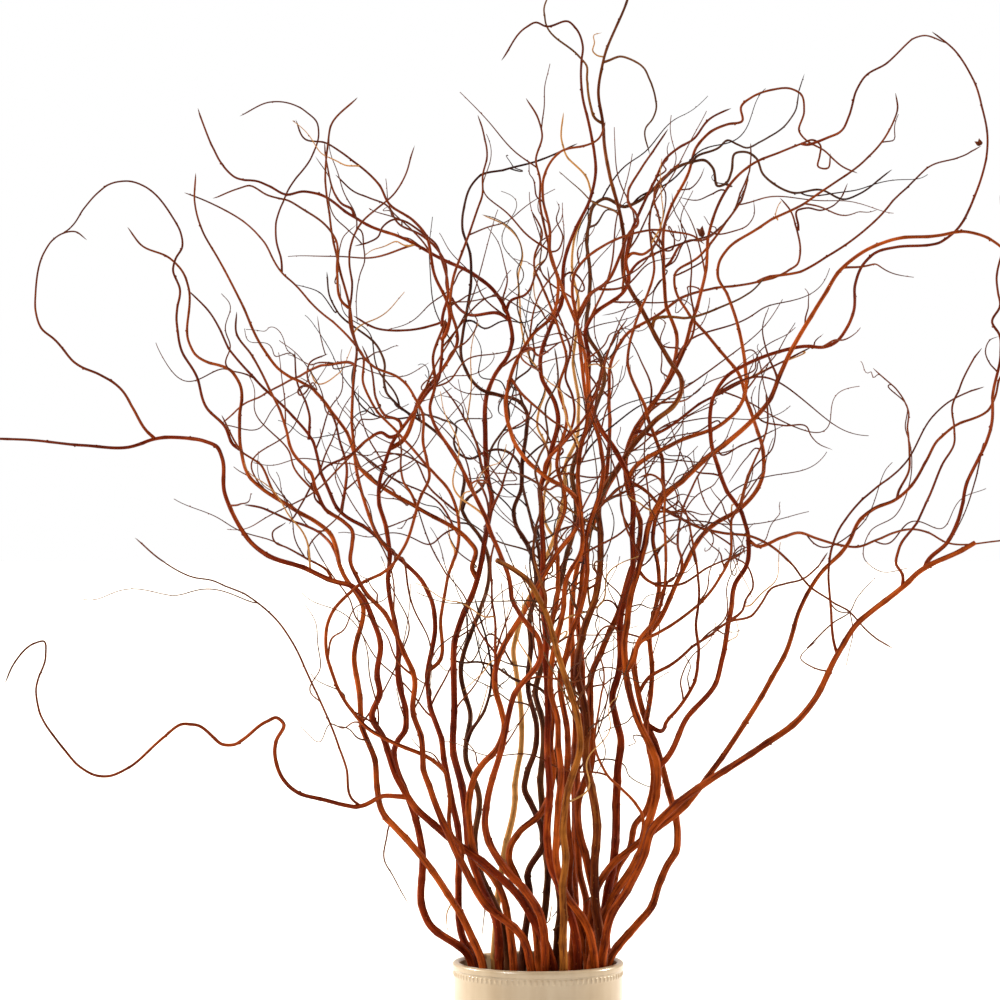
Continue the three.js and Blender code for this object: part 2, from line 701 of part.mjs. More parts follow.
    route: [
      [2, 244], [6, 285], [11, 325], [6, 370], [3, 425], [5, 490], [-2, 540], [10, 588], [20, 640],
      [36, 705], [42, 740], [36, 780], [50, 815], [66, 855], [73, 895], [53, 935], [57, 985],
      [55, 1050], [66, 1078], [98, 1070], [128, 1090], [150, 1110], [189, 1118], [200, 1093],
      [212, 1100], [218, 1129], [236, 1126], [246, 1106], [278, 1085], [314, 1087], [338, 1077],
      [362, 1088], [388, 1109],
    ],
    forks: [
      {
        at: [170, 1115], thick: [3, 1.7], depth: 240,
        route: [[199, 1136], [208, 1145], [229, 1135], [260, 1151], [282, 1172], [287, 1197]],
      },
    ],
  },
  {
    name: "far_crown_stem", bark: "russet_bark", thick: [9, 1.9], depth: [68, 260],
    route: [
      [38, 244], [40, 295], [41, 345], [39, 395], [40, 450], [41, 520], [37, 590], [39, 655],
      [56, 712], [82, 770], [105, 818], [134, 862], [153, 912], [142, 960], [137, 1010],
      [143, 1060], [164, 1101], [178, 1139], [209, 1159], [225, 1163], [223, 1178], [249, 1196],
      [284, 1198], [292, 1176], [289, 1148], [312, 1134], [334, 1115], [352, 1107],
    ],
    forks: [
      {
        at: [137, 1000], thick: [3.2, 1.7], depth: 330,
        route: [[160, 1030], [188, 1036], [206, 1054], [223, 1082], [232, 1113], [234, 1140]],
      },
    ],
  },
  {
    name: "far_yellow_stem", bark: "olive_bark", thick: [8.5, 2], depth: [66, 330],
    route: [
      [-48, 244], [-46, 290], [-41, 345], [-29, 395], [-26, 440], [-19, 490], [-22, 545],
      [-26, 590], [-12, 630], [3, 668], [18, 707], [28, 745], [29, 785], [42, 815], [42, 870],
      [38, 915], [44, 960], [37, 1010], [46, 1052], [58, 1086], [38, 1118], [26, 1140], [28, 1172],
    ],
    forks: [
      {
        at: [18, 707], thick: [3.4, 1.7], depth: 380,
        route: [
          [6, 745], [14, 790], [-2, 830], [8, 870], [-10, 905], [-16, 950], [-22, 990], [-18, 1026],
          [-40, 1052], [-62, 1061],
        ],
      },
    ],
  },
  {
    name: "far_left_stem", bark: "dark_bark", thick: [8.5, 2], depth: [54, 330],
    route: [
      [-34, 244], [-38, 280], [-58, 325], [-70, 370], [-66, 420], [-80, 465], [-74, 510],
      [-84, 560], [-72, 610], [-54, 655], [-60, 700], [-84, 735], [-82, 775], [-100, 810],
      [-142, 842], [-168, 866], [-170, 905], [-200, 935], [-226, 962], [-232, 1000],
    ],
    forks: [
      {
        at: [-84, 735], thick: [3.6, 1.8], depth: 220,
        route: [[-60, 765], [-54, 800], [-34, 835], [-30, 870], [-6, 895], [-4, 930], [14, 955]],
      },
      {
        at: [-79, 477], thick: [4.4, 1.9], depth: 40,
        route: [[-64, 507], [-58, 528], [-52, 550], [-53, 575], [-58, 592], [-64, 612], [-70, 640]],
      },
    ],
  },
];

// ---------------------------------------------------------------------------------------------
// The vase: one turned body, open at the mouth.

function makeVase() {
  const inner = VASE_RADIUS - WALL;
  const below = VASE_HEIGHT - LIP_HEIGHT;
  const outline = [
    [0, 0], [VASE_RADIUS - FOOT_CHAMFER, 0], [VASE_RADIUS, FOOT_CHAMFER], [VASE_RADIUS, below],
    [LIP_RADIUS, below + EDGE], [LIP_RADIUS, VASE_HEIGHT - EDGE], [LIP_RADIUS - EDGE, VASE_HEIGHT],
    [inner + EDGE, VASE_HEIGHT], [inner, VASE_HEIGHT - EDGE], [inner, FLOOR + EDGE],
    [inner - EDGE, FLOOR], [0, FLOOR],
  ];
  const profile = outline.map(([radius, level]) => new THREE.Vector2(radius, level));
  const geometry = new THREE.LatheGeometry(profile, VASE_SEGMENTS);
  geometry.rotateX(Math.PI / 2);
  const vase = new THREE.Mesh(geometry, new THREE.MeshStandardMaterial(GLAZE));
  vase.name = "vase";
  return vase;
}

// ---------------------------------------------------------------------------------------------
// Elevation and depth.

// The place of a point drawn at [x, z] when it lies at depth y.
function alongSight(x, z, y) {
  const scale = 1 - y / EYE.y;
  return new THREE.Vector3(EYE.x + (x - EYE.x) * scale, y, EYE.z + (z - EYE.z) * scale);
}

// Where a point in space is drawn.
function drawnAt(point) {
  const scale = 1 - point.y / EYE.y;
  return [EYE.x + (point.x - EYE.x) / scale, EYE.z + (point.z - EYE.z) / scale];
}

// A smooth line through the drawn points, as fine steps with their distance along the line.
function drawLine(route) {
  const points = route.map(([x, z]) => new THREE.Vector3(x, 0, z));
  const curve = new THREE.CatmullRomCurve3(points, false, "centripetal");
  const steps = Math.max(4, Math.round(curve.getLength() / DRAW_STEP));
  curve.arcLengthDivisions = steps * 4;
  const line = curve.getSpacedPoints(steps);
  const length = curve.getLength();
  return line.map((p, i) => ({ x: p.x, z: p.z, s: (length * i) / steps }));
}

// The nearest step of a drawn line to a drawn point.
function nearestStep(line, [x, z]) {
  let best = 0;
  line.forEach((p, i) => {
    if (Math.hypot(p.x - x, p.z - z) < Math.hypot(line[best].x - x, line[best].z - z)) best = i;
  });
  return best;
}

// How many sides a tube of this radius has.
function sidesFor(radius) {
  if (radius > FIVE_SIDED_FROM) return 5;
  return radius > FOUR_SIDED_FROM ? 4 : 3;
}

// The radius of a regular polygon's corners, when its area is that of the round section.
function cornerRadius(radius, sides) {
  return radius * Math.sqrt((2 * Math.PI) / (sides * Math.sin((2 * Math.PI) / sides)));
}

// ---------------------------------------------------------------------------------------------
// Chains: every stem and branch as a row of sites on its centre line.

const chains = [];

// Picks the sites of a line: none sags more than SAG from the line, and forks fall on sites.
function pickSites(line, forced, corner, clear) {
  const picked = [0];
  const last = line.length - 1;
  const shortest = (i) => (i === 0 ? clear : Math.max(SHORTEST, corner(i) * LEAST_STRETCH));
  let from = 0;
  while (from < last) {
    let to = from + 1;
    while (to < last) {
      const next = to + 1;
      const reach = line[next].s - line[from].s;
      if (reach > shortest(from) && (sagOf(line, from, next) > SAG || reach > LONGEST)) break;
      to = next;
    }
    const fork = forced.find((f) => f > from && f <= to + 1);
    if (fork !== undefined) to = fork;
    picked.push(to);
    from = to;
  }
  if (picked.length > 2) {
    const end = picked[picked.length - 1];
    const before = picked[picked.length - 2];
    const tooShort = line[end].s - line[before].s < shortest(before);
    if (tooShort && !forced.includes(before)) picked.splice(picked.length - 2, 1);
  }
  return dropCrowded(picked, line, forced, shortest);
}

// Sites too close before a fork are dropped, because a fork's collar needs room.
function dropCrowded(picked, line, forced, shortest) {
  return picked.filter((step, i) => {
    if (i === 0 || i === picked.length - 1 || forced.includes(step)) return true;
    const next = picked[i + 1];
    return !(forced.includes(next) && line[next].s - line[step].s < shortest(step) * CROWDED);
  });
}

function sagOf(line, from, to) {
  const a = line[from];
  const b = line[to];
  const length = Math.hypot(b.x - a.x, b.z - a.z) || 1;
  let sag = 0;
  for (let i = from + 1; i < to; i += 1) {
    const across = (line[i].x - a.x) * (b.z - a.z) - (line[i].z - a.z) * (b.x - a.x);
    sag = Math.max(sag, Math.abs(across) / length);
  }
  return sag;
}

// Makes the chain of one drawn branch, and the chains of its forks after it.
function makeChain(item, parent, index) {
  const start = parent ? parent.line[parent.fork] : null;
  const route = parent ? [[start.x, start.z], ...item.route] : item.route;
  const line = drawLine(route);
  const length = line[line.length - 1].s;
  const [thickest, thinnest] = item.thick;
  const radiusAt = (s) => (thickest + (thinnest - thickest) * (s / length) ** TAPER_POWER) / 2;
  const forks = item.forks ?? [];
  const forced = forks.map((f) => nearestStep(line, f.at)).sort((a, b) => a - b);
  const cornerAt = (i) => cornerRadius(radiusAt(line[i].s), sidesFor(radiusAt(line[i].s)));
  const rootLength = parent ? SPUR * parent.corner + cornerAt(0) : 0;
  const clear = ROOT_ROOM * rootLength + SHORTEST;
  const picked = pickSites(line, forced, cornerAt, clear);
  const from = parent ? parent.depth : item.depth[0];
  const tip = parent ? item.depth : item.depth[1];
  const phase = index * CURL_TURN;
  const depthAt = (s) => {
    const along = s / length;
    const swing = Math.sin((s / CURL_LENGTH) * 2 * Math.PI + phase) - Math.sin(phase);
    return from + (tip - from) * along ** DEPTH_POWER + CURL_DEPTH * Math.min(1, s / CURL_START) * swing;
  };
  const sites = picked.map((step) => {
    const { x, z, s } = line[step];
    const radius = radiusAt(s);
    const sides = sidesFor(radius);
    return { x, z, y: depthAt(s), radius, sides, corner: cornerRadius(radius, sides), step };
  });
  const chain = { sites, forks: [], parent: null };
  if (parent) chain.parent = { chain: parent.chain, site: parent.site };
  else standInVase(sites);
  chains.push(chain);
  chain.number = chains.length - 1;
  forks.forEach((fork, i) => {
    const step = nearestStep(line, fork.at);
    const site = sites.findIndex((p) => p.step === step);
    const { y: depth, corner } = sites[site];
    const root = { line, fork: step, chain, site, depth, corner };
    const child = makeChain(fork, root, index + 3 + i * 5);
    chain.forks.push(child);
  });
  return chain;
}

// Adds the part of a stem that stands inside the vase, from the butt to the mouth.
function standInVase(sites) {
  const mouth = sites[0];
  const top = alongSight(mouth.x, mouth.z, mouth.y);
  const levels = [FLOOR + GAP, ...INSIDE_LEVELS];
  const inside = levels.map((level) => {
    const spread = BUTT_SPREAD + ((1 - BUTT_SPREAD) * (level - FLOOR)) / (MOUTH_LEVEL - FLOOR);
    const point = new THREE.Vector3(top.x * spread, top.y * spread, level);
    const [x, z] = drawnAt(point);
    return { ...mouth, x, z, y: point.y, level };
  });
  mouth.level = MOUTH_LEVEL;
  sites.unshift(...inside);
  inside.forEach((site) => delete site.step);
}

// A site's place in space: a level site keeps its height, and a branch starts off its parent.
function placeSite(site) {
  if (site.tied) return placeSite(site.tied.root).add(site.tied.offset);
  const point = alongSight(site.x, site.z, site.y);
  if (site.level !== undefined) point.z = site.level;
  return point;
}

// The first site of each branch stands off its parent's side, and moves with it.
function tieBranches() {
  for (const chain of chains) {
    if (!chain.parent) continue;
    const parent = chain.parent.chain;
    const root = parent.sites[chain.parent.site];
    const at = placeSite(root);
    const before = placeSite(parent.sites[chain.parent.site - 1]);
    const after = placeSite(parent.sites[Math.min(chain.parent.site + 1, parent.sites.length - 1)]);
    const along = after.clone().sub(before).normalize();
    const ahead = placeSite(chain.sites[1]).sub(at);
    const forward = Math.sign(ahead.dot(along)) || 1;
    const side = ahead.clone().addScaledVector(along, -ahead.dot(along));
    const nudge = chain.number % 2 ? SIDE_NUDGE : -SIDE_NUDGE;
    if (side.length() < LEAST_SIDE) side.add(new THREE.Vector3(0, nudge, 0));
    side.addScaledVector(along, -side.dot(along)).normalize();
    const reach = SPUR * root.corner + chain.sites[0].corner;
    const offset = side.clone().multiplyScalar(reach);
    offset.addScaledVector(along, forward * reach * SPUR_RAKE);
    chain.side = side;
    chain.sites[0].tied = { root, offset };
  }
}

// ---------------------------------------------------------------------------------------------
// Settling: stems that touch are eased apart in depth, round by round, until all are clear.

// Every straight stretch between two sites, with the root of a branch as a stretch of its own.
function listStretches() {
  const stretches = [];
  for (const chain of chains) {
    const { sites, parent, number } = chain;
    if (parent) {
      const root = parent.chain.sites[parent.site];
      const girth = Math.max(sites[0].corner, ROOT_GIRTH * root.corner);
      const stretch = { a: root, b: sites[0], ra: girth, rb: girth, order: -1 };
      stretches.push({ ...stretch, chain: number, skip: parent.chain.number });
    }
    for (let i = 0; i + 1 < sites.length; i += 1) {
      const [a, b] = [sites[i], sites[i + 1]];
      stretches.push({ a, b, ra: girthOf(a), rb: girthOf(b), order: i, chain: number, skip: -1 });
    }
  }
  return stretches;
}

// A fork's collar stands a little proud of the straight tube.
function girthOf(site) {
  return site.corner * (site.forked ? COLLAR_GIRTH : 1);
}

// The nearest points of two stretches, as shares s and t of their lengths.
function nearestShares(p, q, r, w) {
  const d1 = q.clone().sub(p);
  const d2 = w.clone().sub(r);
  const between = p.clone().sub(r);
  const [a, e, f] = [d1.lengthSq(), d2.lengthSq(), d2.dot(between)];
  const [b, c] = [d1.dot(d2), d1.dot(between)];
  const spread = a * e - b * b;
  let s = spread > 1e-9 ? THREE.MathUtils.clamp((b * f - c * e) / spread, 0, 1) : 0.5;
  let t = (b * s + f) / e;
  if (t < 0 || t > 1) {
    t = THREE.MathUtils.clamp(t, 0, 1);
    s = THREE.MathUtils.clamp((b * t - c) / a, 0, 1);
  }
  return [s, t];
}

// Pairs of stretches whose front elevations come near each other.
function listPairs(stretches) {
  const cells = new Map();
  stretches.forEach((stretch, index) => {
    const [p, q] = [stretch.a.at, stretch.b.at];
    const reach = Math.max(stretch.ra, stretch.rb) + CELL_MARGIN;
    const [x0, x1] = [Math.min(p.x, q.x) - reach, Math.max(p.x, q.x) + reach];
    const [z0, z1] = [Math.min(p.z, q.z) - reach, Math.max(p.z, q.z) + reach];
    stretch.box = [x0, x1, z0, z1];
    for (let i = Math.floor(x0 / CELL); i <= Math.floor(x1 / CELL); i += 1) {
      for (let k = Math.floor(z0 / CELL); k <= Math.floor(z1 / CELL); k += 1) {
        const key = `${i},${k}`;
        if (!cells.has(key)) cells.set(key, []);
        cells.get(key).push(index);
      }
    }
  });
  const found = new Map();
  for (const members of cells.values()) {
    members.forEach((m, i) => {
      for (const n of members.slice(i + 1)) {
        const key = `${m},${n}`;
        if (!found.has(key) && mayTouch(stretches[m], stretches[n])) found.set(key, [m, n]);
      }
    });
  }
  return [...found.values()].map(([m, n]) => [stretches[m], stretches[n]]);
}

function mayTouch(first, second) {
  if (first.chain === second.chain && Math.abs(first.order - second.order) <= 2) return false;
  if (first.skip === second.chain || second.skip === first.chain) return false;
  const [a0, a1, a2, a3] = first.box;
  const [b0, b1, b2, b3] = second.box;
  return a0 < b1 && b0 < a1 && a2 < b3 && b2 < a3;
}

// The contacts of this round, grouped by pair of chains into unbroken runs that share one side.
function findContacts(pairs) {
  const contacts = [];
  for (const [first, second] of pairs) {
    const [s, t] = nearestShares(first.a.at, first.b.at, second.a.at, second.b.at);
    const p = first.a.at.clone().lerp(first.b.at, s);
    const q = second.a.at.clone().lerp(second.b.at, t);
    const need = first.ra + (first.rb - first.ra) * s + second.ra + (second.rb - second.ra) * t;
    const clearance = p.distanceTo(q) - need;
    if (clearance > GAP + CLOSE) continue;
    const apart = Math.hypot(p.x - q.x, p.z - q.z);
    const depth = Math.sqrt(Math.max(0, (need + GAP + EASE) ** 2 - apart ** 2));
    contacts.push({ first, second, s, t, off: p.y - q.y, depth, clearance });
  }
  contacts.sort((c, d) => runOf(c) - runOf(d));
  const groups = [];
  contacts.forEach((contact, i) => {
    const before = contacts[i - 1];
    if (!before || runOf(contact) - runOf(before) > 3) groups.push([]);
    groups[groups.length - 1].push(contact);
  });
  return groups;
}

// A number for the place along two chains where a contact lies.
function runOf({ first, second }) {
  return (first.chain * CHAIN_KEY + second.chain) * CHAIN_KEY + first.order;
}

// The side that a group takes: the one it took before, there or one stretch away, if it has met.
const sidesTaken = new Map();

function sideOf(group) {
  const taken = (contact) => {
    const run = runOf(contact);
    return [run - 1, run, run + 1].reduce((sum, key) => sum + (sidesTaken.get(key) ?? 0), 0);
  };
  const before = group.reduce((sum, contact) => sum + taken(contact), 0);
  const lean = before || group.reduce((sum, contact) => sum + contact.off, 0);
  const side = lean < 0 ? -1 : 1;
  for (const contact of group) sidesTaken.set(runOf(contact), side);
  return side;
}

function pushApart(group) {
  const side = sideOf(group);
  for (const { first, second, s, t, off, depth } of group) {
    const push = ((depth - side * off) / 2) * side;
    addPush(first.a, push * (1 - s));
    addPush(first.b, push * s);
    addPush(second.a, -push * (1 - t));
    addPush(second.b, -push * t);
  }
}

function addPush(site, push) {
  const target = site.tied ? site.tied.root : site;
  target.push += push;
  target.pushes += 1;
}

// Spreads each push along its chain, so that a stem bows round its neighbour instead of kinking.
function moveSites(share) {
  for (const { sites } of chains) {
    const pushes = sites.map((p) => (p.pushes ? p.push / Math.sqrt(p.pushes) : 0));
    sites.forEach((site, i) => {
      if (site.tied) return;
      PUSH_SHARES.forEach((part, k) => {
        site.y += part * (pushes[i + k - 2] ?? 0);
      });
    });
    const offs = sites.map((p) => p.y - p.drawnDepth);
    sites.forEach((site, i) => {
      const mean = ((offs[i - 1] ?? offs[i]) + (offs[i + 1] ?? offs[i])) / 2;
      site.y += share * (mean - offs[i]);
      site.push = 0;
      site.pushes = 0;
    });
  }
}

// Keeps the part of a stem inside the vase clear of its wall.
function keepInVase() {
  const inner = (VASE_RADIUS - WALL) * Math.cos(Math.PI / VASE_SEGMENTS) - EDGE / 2;
  for (const { sites } of chains) {
    for (const site of sites) {
      if (site.level === undefined) continue;
      const limit = inner - site.corner - GAP;
      const x = placeSite(site).x;
      const depth = Math.sqrt(Math.max(0, limit ** 2 - x ** 2));
      site.y = THREE.MathUtils.clamp(site.y, -depth, depth);
    }
  }
}

function placeAll() {
  for (const { sites } of chains) {
    for (const site of sites) site.at = placeSite(site);
  }
}

function settle() {
  for (const { sites } of chains) {
    for (const site of sites) Object.assign(site, { drawnDepth: site.y, push: 0, pushes: 0 });
  }
  const stretches = listStretches();
  let pairs = [];
  for (let round = 0; round < SETTLE_ROUNDS; round += 1) {
    keepInVase();
    placeAll();
    if (round % RELIST_ROUNDS === 0) pairs = listPairs(stretches);
    const groups = findContacts(pairs);
    const worst = groups.flat().reduce((least, c) => Math.min(least, c.clearance), 1);
    if (round > LEAST_ROUNDS && worst > CLEAR_ENOUGH) break;
    groups.forEach(pushApart);
    moveSites(round < SETTLE_ROUNDS / 2 ? STRAIGHTEN : 0);
  }
  placeAll();
}

// ---------------------------------------------------------------------------------------------
// Meshing: rings of corners along each chain, sewn together, with each branch sewn into the side
// of its parent.

// The rings of a chain: one at each site, and two close together at a fork.
function listRings(chain) {
  const rings = [];
  chain.sites.forEach((site, i) => {
    const tangent = tangentAt(chain, i);
    const forks = chain.forks.filter((fork) => fork.parent.site === i);
    if (!forks.length) {
      rings.push({ site, at: site.at.clone(), tangent });
      return;
    }
    const reach = COLLAR * site.corner;
    for (const end of [-1, 1]) {
      const at = site.at.clone().addScaledVector(tangent, end * reach);
      rings.push({ site, at, tangent, fork: forks[0], end });
    }
  });
  return rings;
}

function tangentAt(chain, i) {
  const { sites } = chain;
  if (sites[i].level !== undefined && i === 0) return new THREE.Vector3(0, 0, 1);
  const tangent = new THREE.Vector3();
  if (i > 0) tangent.add(sites[i].at.clone().sub(sites[i - 1].at).normalize());
  else if (sites[i].tied) tangent.add(sites[i].tied.offset.clone().normalize());
  if (i + 1 < sites.length) tangent.add(sites[i + 1].at.clone().sub(sites[i].at).normalize());
  return tangent.normalize();
}

// Carries a frame along the rings without twisting it, then rolls it so a side faces each fork.
function frameRings(rings, firstSide) {
  let across = firstSide.clone();
  let travelled = 0;
  rings.forEach((ring, i) => {
    across.addScaledVector(ring.tangent, -across.dot(ring.tangent)).normalize();
    ring.u = across.clone();
    ring.v = ring.tangent.clone().cross(ring.u);
    if (i > 0) travelled += ring.at.distanceTo(rings[i - 1].at);
    ring.travelled = travelled;
    ring.roll = null;
    across = ring.u.clone();
  });
  let roll = 0;
  for (const ring of rings) {
    if (!ring.fork) continue;
    const turn = (2 * Math.PI) / ring.site.sides;
    const facing = Math.atan2(ring.fork.side.dot(ring.v), ring.fork.side.dot(ring.u));
    const side = Math.round((facing - roll) / turn - 0.5);
    roll = facing - (side + 0.5) * turn;
    ring.side = ((side % ring.site.sides) + ring.site.sides) % ring.site.sides;
    ring.roll = roll;
  }
  const fixed = rings.filter((ring) => ring.roll !== null);
  const first = { travelled: 0, roll: 0 };
  for (const ring of rings) {
    if (ring.roll !== null) continue;
    const before = fixed.filter((r) => r.travelled < ring.travelled).pop() ?? first;
    const after = fixed.find((r) => r.travelled > ring.travelled) ?? before;
    const span = after.travelled - before.travelled;
    const share = span > 0 ? (ring.travelled - before.travelled) / span : 0;
    ring.roll = before.roll + (after.roll - before.roll) * share;
  }
}

function addCorners(ring, corners) {
  const { sides, corner } = ring.site;
  ring.corners = [];
  for (let k = 0; k < sides; k += 1) {
    const angle = ring.roll + (k * 2 * Math.PI) / sides;
    const point = ring.at.clone();
    point.addScaledVector(ring.u, corner * Math.cos(angle));
    point.addScaledVector(ring.v, corner * Math.sin(angle));
    ring.corners.push(corners.length);
    corners.push(point);
  }
}

// Sews two loops of corners that run the same way round, keeping an even pace along both.
function sew(first, second, corners, faces) {
  const far = (i, j) => corners[first[i % first.length]].distanceTo(corners[second[j % second.length]]);
  let turn = 0;
  let least = Infinity;
  for (let k = 0; k < second.length; k += 1) {
    const share = second.length / first.length;
    const sum = first.reduce((total, _, i) => total + far(i, k + Math.round(i * share)), 0);
    if (sum < least) [turn, least] = [k, sum];
  }
  let [i, j] = [0, 0];
  while (i < first.length || j < second.length) {
    const stepFirst = (i + 0.5) * second.length <= (j + 0.5) * first.length;
    const a = first[i % first.length];
    const b = second[(j + turn) % second.length];
    if (stepFirst) {
      faces.push([a, first[(i + 1) % first.length], b]);
      i += 1;
    } else {
      faces.push([a, second[(j + 1 + turn) % second.length], b]);
      j += 1;
    }
  }
}

// Two rings of a collar are sewn all round but for the side that the branch leaves from.
function sewCollar(low, high, faces) {
  const count = low.corners.length;
  for (let k = 0; k < count; k += 1) {
    const next = (k + 1) % count;
    if (k === high.side) continue;
    faces.push([low.corners[k], low.corners[next], high.corners[next]]);
    faces.push([low.corners[k], high.corners[next], high.corners[k]]);
  }
  const [k, next] = [high.side, (high.side + 1) % count];
  return [low.corners[k], low.corners[next], high.corners[next], high.corners[k]];
}

function addCap(loop, faces) {
  for (let k = 1; k + 1 < loop.length; k += 1) faces.push([loop[0], loop[k], loop[k + 1]]);
}

function meshChain(chain, window, corners, faces) {
  const rings = listRings(chain);
  const firstSide = new THREE.Vector3(1, 0, 0);
  if (window) firstSide.copy(corners[window[0]]).sub(rings[0].at);
  frameRings(rings, firstSide);
  rings.forEach((ring) => addCorners(ring, corners));
  if (window) sew(window, rings[0].corners, corners, faces);
  else addCap([...rings[0].corners].reverse(), faces);
  for (let i = 0; i + 1 < rings.length; i += 1) {
    const [low, high] = [rings[i], rings[i + 1]];
    if (low.fork && high.fork === low.fork && low.end < high.end) {
      const opening = sewCollar(low, high, faces);
      meshChain(low.fork, opening, corners, faces);
    } else {
      sew(low.corners, high.corners, corners, faces);
    }
  }
  addCap(rings[rings.length - 1].corners, faces);
}

function makeStem(item, chain) {
  const corners = [];
  const faces = [];
  meshChain(chain, null, corners, faces);
  const geometry = new THREE.BufferGeometry();
  const positions = corners.flatMap((p) => [p.x, p.y, p.z]);
  geometry.setAttribute("position", new THREE.Float32BufferAttribute(positions, 3));
  geometry.setIndex(faces.flat());
  const flat = geometry.toNonIndexed();
  flat.computeVertexNormals();
  const stem = new THREE.Mesh(flat, new THREE.MeshStandardMaterial(BARKS[item.bark]));
  stem.name = item.name;
  return stem;
}

const stemChains = STEMS.map((item, index) => makeChain(item, null, index));
for (const chain of chains) {
  for (const fork of chain.forks) chain.sites[fork.parent.site].forked = true;
}
tieBranches();
settle();

const group = new THREE.Group();
group.name = "willow_stems_in_a_vase";
group.add(makeVase());
STEMS.forEach((item, index) => group.add(makeStem(item, stemChains[index])));

export default group;
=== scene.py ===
"""Curly willow stems with their twigs and buds, standing in a glazed vase."""

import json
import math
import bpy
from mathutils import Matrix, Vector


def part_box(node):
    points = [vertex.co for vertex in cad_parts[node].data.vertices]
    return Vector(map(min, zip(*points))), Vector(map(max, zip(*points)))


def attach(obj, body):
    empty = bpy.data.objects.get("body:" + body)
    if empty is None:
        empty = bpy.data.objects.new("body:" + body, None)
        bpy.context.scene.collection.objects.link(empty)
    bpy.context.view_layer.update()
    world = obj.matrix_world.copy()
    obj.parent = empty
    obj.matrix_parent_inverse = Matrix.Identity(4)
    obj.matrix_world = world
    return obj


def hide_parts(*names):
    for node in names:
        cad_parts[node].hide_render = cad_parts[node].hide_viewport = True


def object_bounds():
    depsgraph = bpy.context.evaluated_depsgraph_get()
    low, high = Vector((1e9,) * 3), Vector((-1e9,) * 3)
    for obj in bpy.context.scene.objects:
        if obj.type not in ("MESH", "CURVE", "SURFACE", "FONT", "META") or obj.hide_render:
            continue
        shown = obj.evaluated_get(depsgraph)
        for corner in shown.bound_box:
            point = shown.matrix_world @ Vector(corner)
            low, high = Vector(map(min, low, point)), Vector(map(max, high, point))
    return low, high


bl_info = {
    "name": "Willow stems in a vase",
    "version": (1, 0, 0),
    "blender": (4, 5, 0),
    "location": "3D View > Sidebar > Willow",
    "description": "Grows curly willow stems from their solids and makes the glazed vase they stand in",
    "category": "Object",
}

import bmesh
import bpy
import numpy as np
from bpy.props import (
    FloatProperty,
    FloatVectorProperty,
    IntProperty,
    PointerProperty,
)
from mathutils import Vector

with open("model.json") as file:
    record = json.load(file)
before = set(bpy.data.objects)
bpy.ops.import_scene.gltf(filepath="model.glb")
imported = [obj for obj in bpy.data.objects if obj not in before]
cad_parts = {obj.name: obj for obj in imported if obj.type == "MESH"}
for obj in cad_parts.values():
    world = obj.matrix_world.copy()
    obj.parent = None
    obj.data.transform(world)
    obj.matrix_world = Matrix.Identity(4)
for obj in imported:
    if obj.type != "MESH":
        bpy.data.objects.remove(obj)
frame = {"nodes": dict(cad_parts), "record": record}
SOLID_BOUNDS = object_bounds()

VASE = "vase"
STEMS = sorted(name for name in frame["nodes"] if name != VASE)
SLOTS = {part["node"]: part["material_slot"] for part in frame["record"]["subparts"]}

MM = 0.001
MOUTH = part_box(VASE)[1].z

# Stems whose ends are cut across, and stems with pale golden bark, a painted highlight over the whole
# stem
CUT_STEMS = {"front_cut_stem", "right_reaching_stem"}
GOLDEN_HIGHLIGHT_STEMS = {"far_yellow_stem"}

# The point that the front elevation is drawn and seen from
EYE = np.array([-0.042, -4.0, 0.747])

# Distance between the rings of a stem, of a twig and of a drawn twig
STEM_STEP = 0.0026
TWIG_STEP = 0.003
DRAWN_STEP = 0.0028

# Sides of a thick stem, of a thin one, of a twig and of a drawn twig
THICK_SIDES = 14
THIN_SIDES = 10
TWIG_SIDES = 6
DRAWN_SIDES = 7
THIN_RADIUS = 0.003

# A stem: its swelling at a joint, the ovalness of its section, the girth of a branch at its root
SWELLING = 0.09
OVALNESS = 0.03
ROOT_GIRTH = 1.15

# The crook fades in over this height above the mouth, and over this length from the butt
CROOK_RISE = 0.03
CROOK_START = 0.02

# A tip: the length it tapers over, its power and the share of the radius left at its end
TAPER_LENGTH = 0.012
TAPER_POWER = 0.6
TIP_SHARE = 0.12

# Buds: the turn from one to the next in radians, and the share of the joints that have one
BUD_TURN = 2.4
BUDDED = 0.8

# Radii of twigs: the thinnest and thickest root, and the tip
TWIG_ROOT = (0.0009, 0.0015)
TWIG_TIP = 0.0004
DRAWN_ROOT = (0.0008, 0.0013)
DRAWN_TIP = 0.0005

# Twigs grow above this height, and inside a cone this many times as wide as it is high
TWIG_LOWEST = 0.42
TWIG_CONE = 0.56

# The tone that asks for golden bark, a painted highlight over the whole branch, and the share of twigs
# and of drawn twigs that have it
GOLDEN_HIGHLIGHT_TONE = 1.8
GOLDEN_HIGHLIGHT_TWIGS = 0.08
GOLDEN_HIGHLIGHT_DRAWN = 0.12

# The vase: radii of the wall, the lip and the inside, and the radius past which it is the outside
WALL_RADIUS = 0.093
LIP_RADIUS = 0.0945
INNER_RADIUS = 0.086
OUTSIDE_FROM = 0.09

# The row of beads: how far its middle lies below the mouth, and half its height
BEAD_DROP = 0.0125
BEAD_HALF = 0.0029

# The stage
FLOOR_RADIUS = 40
LENS = 130.9
SENSOR = 36


# --------------------------------------------------------------------------------------------
# Settings


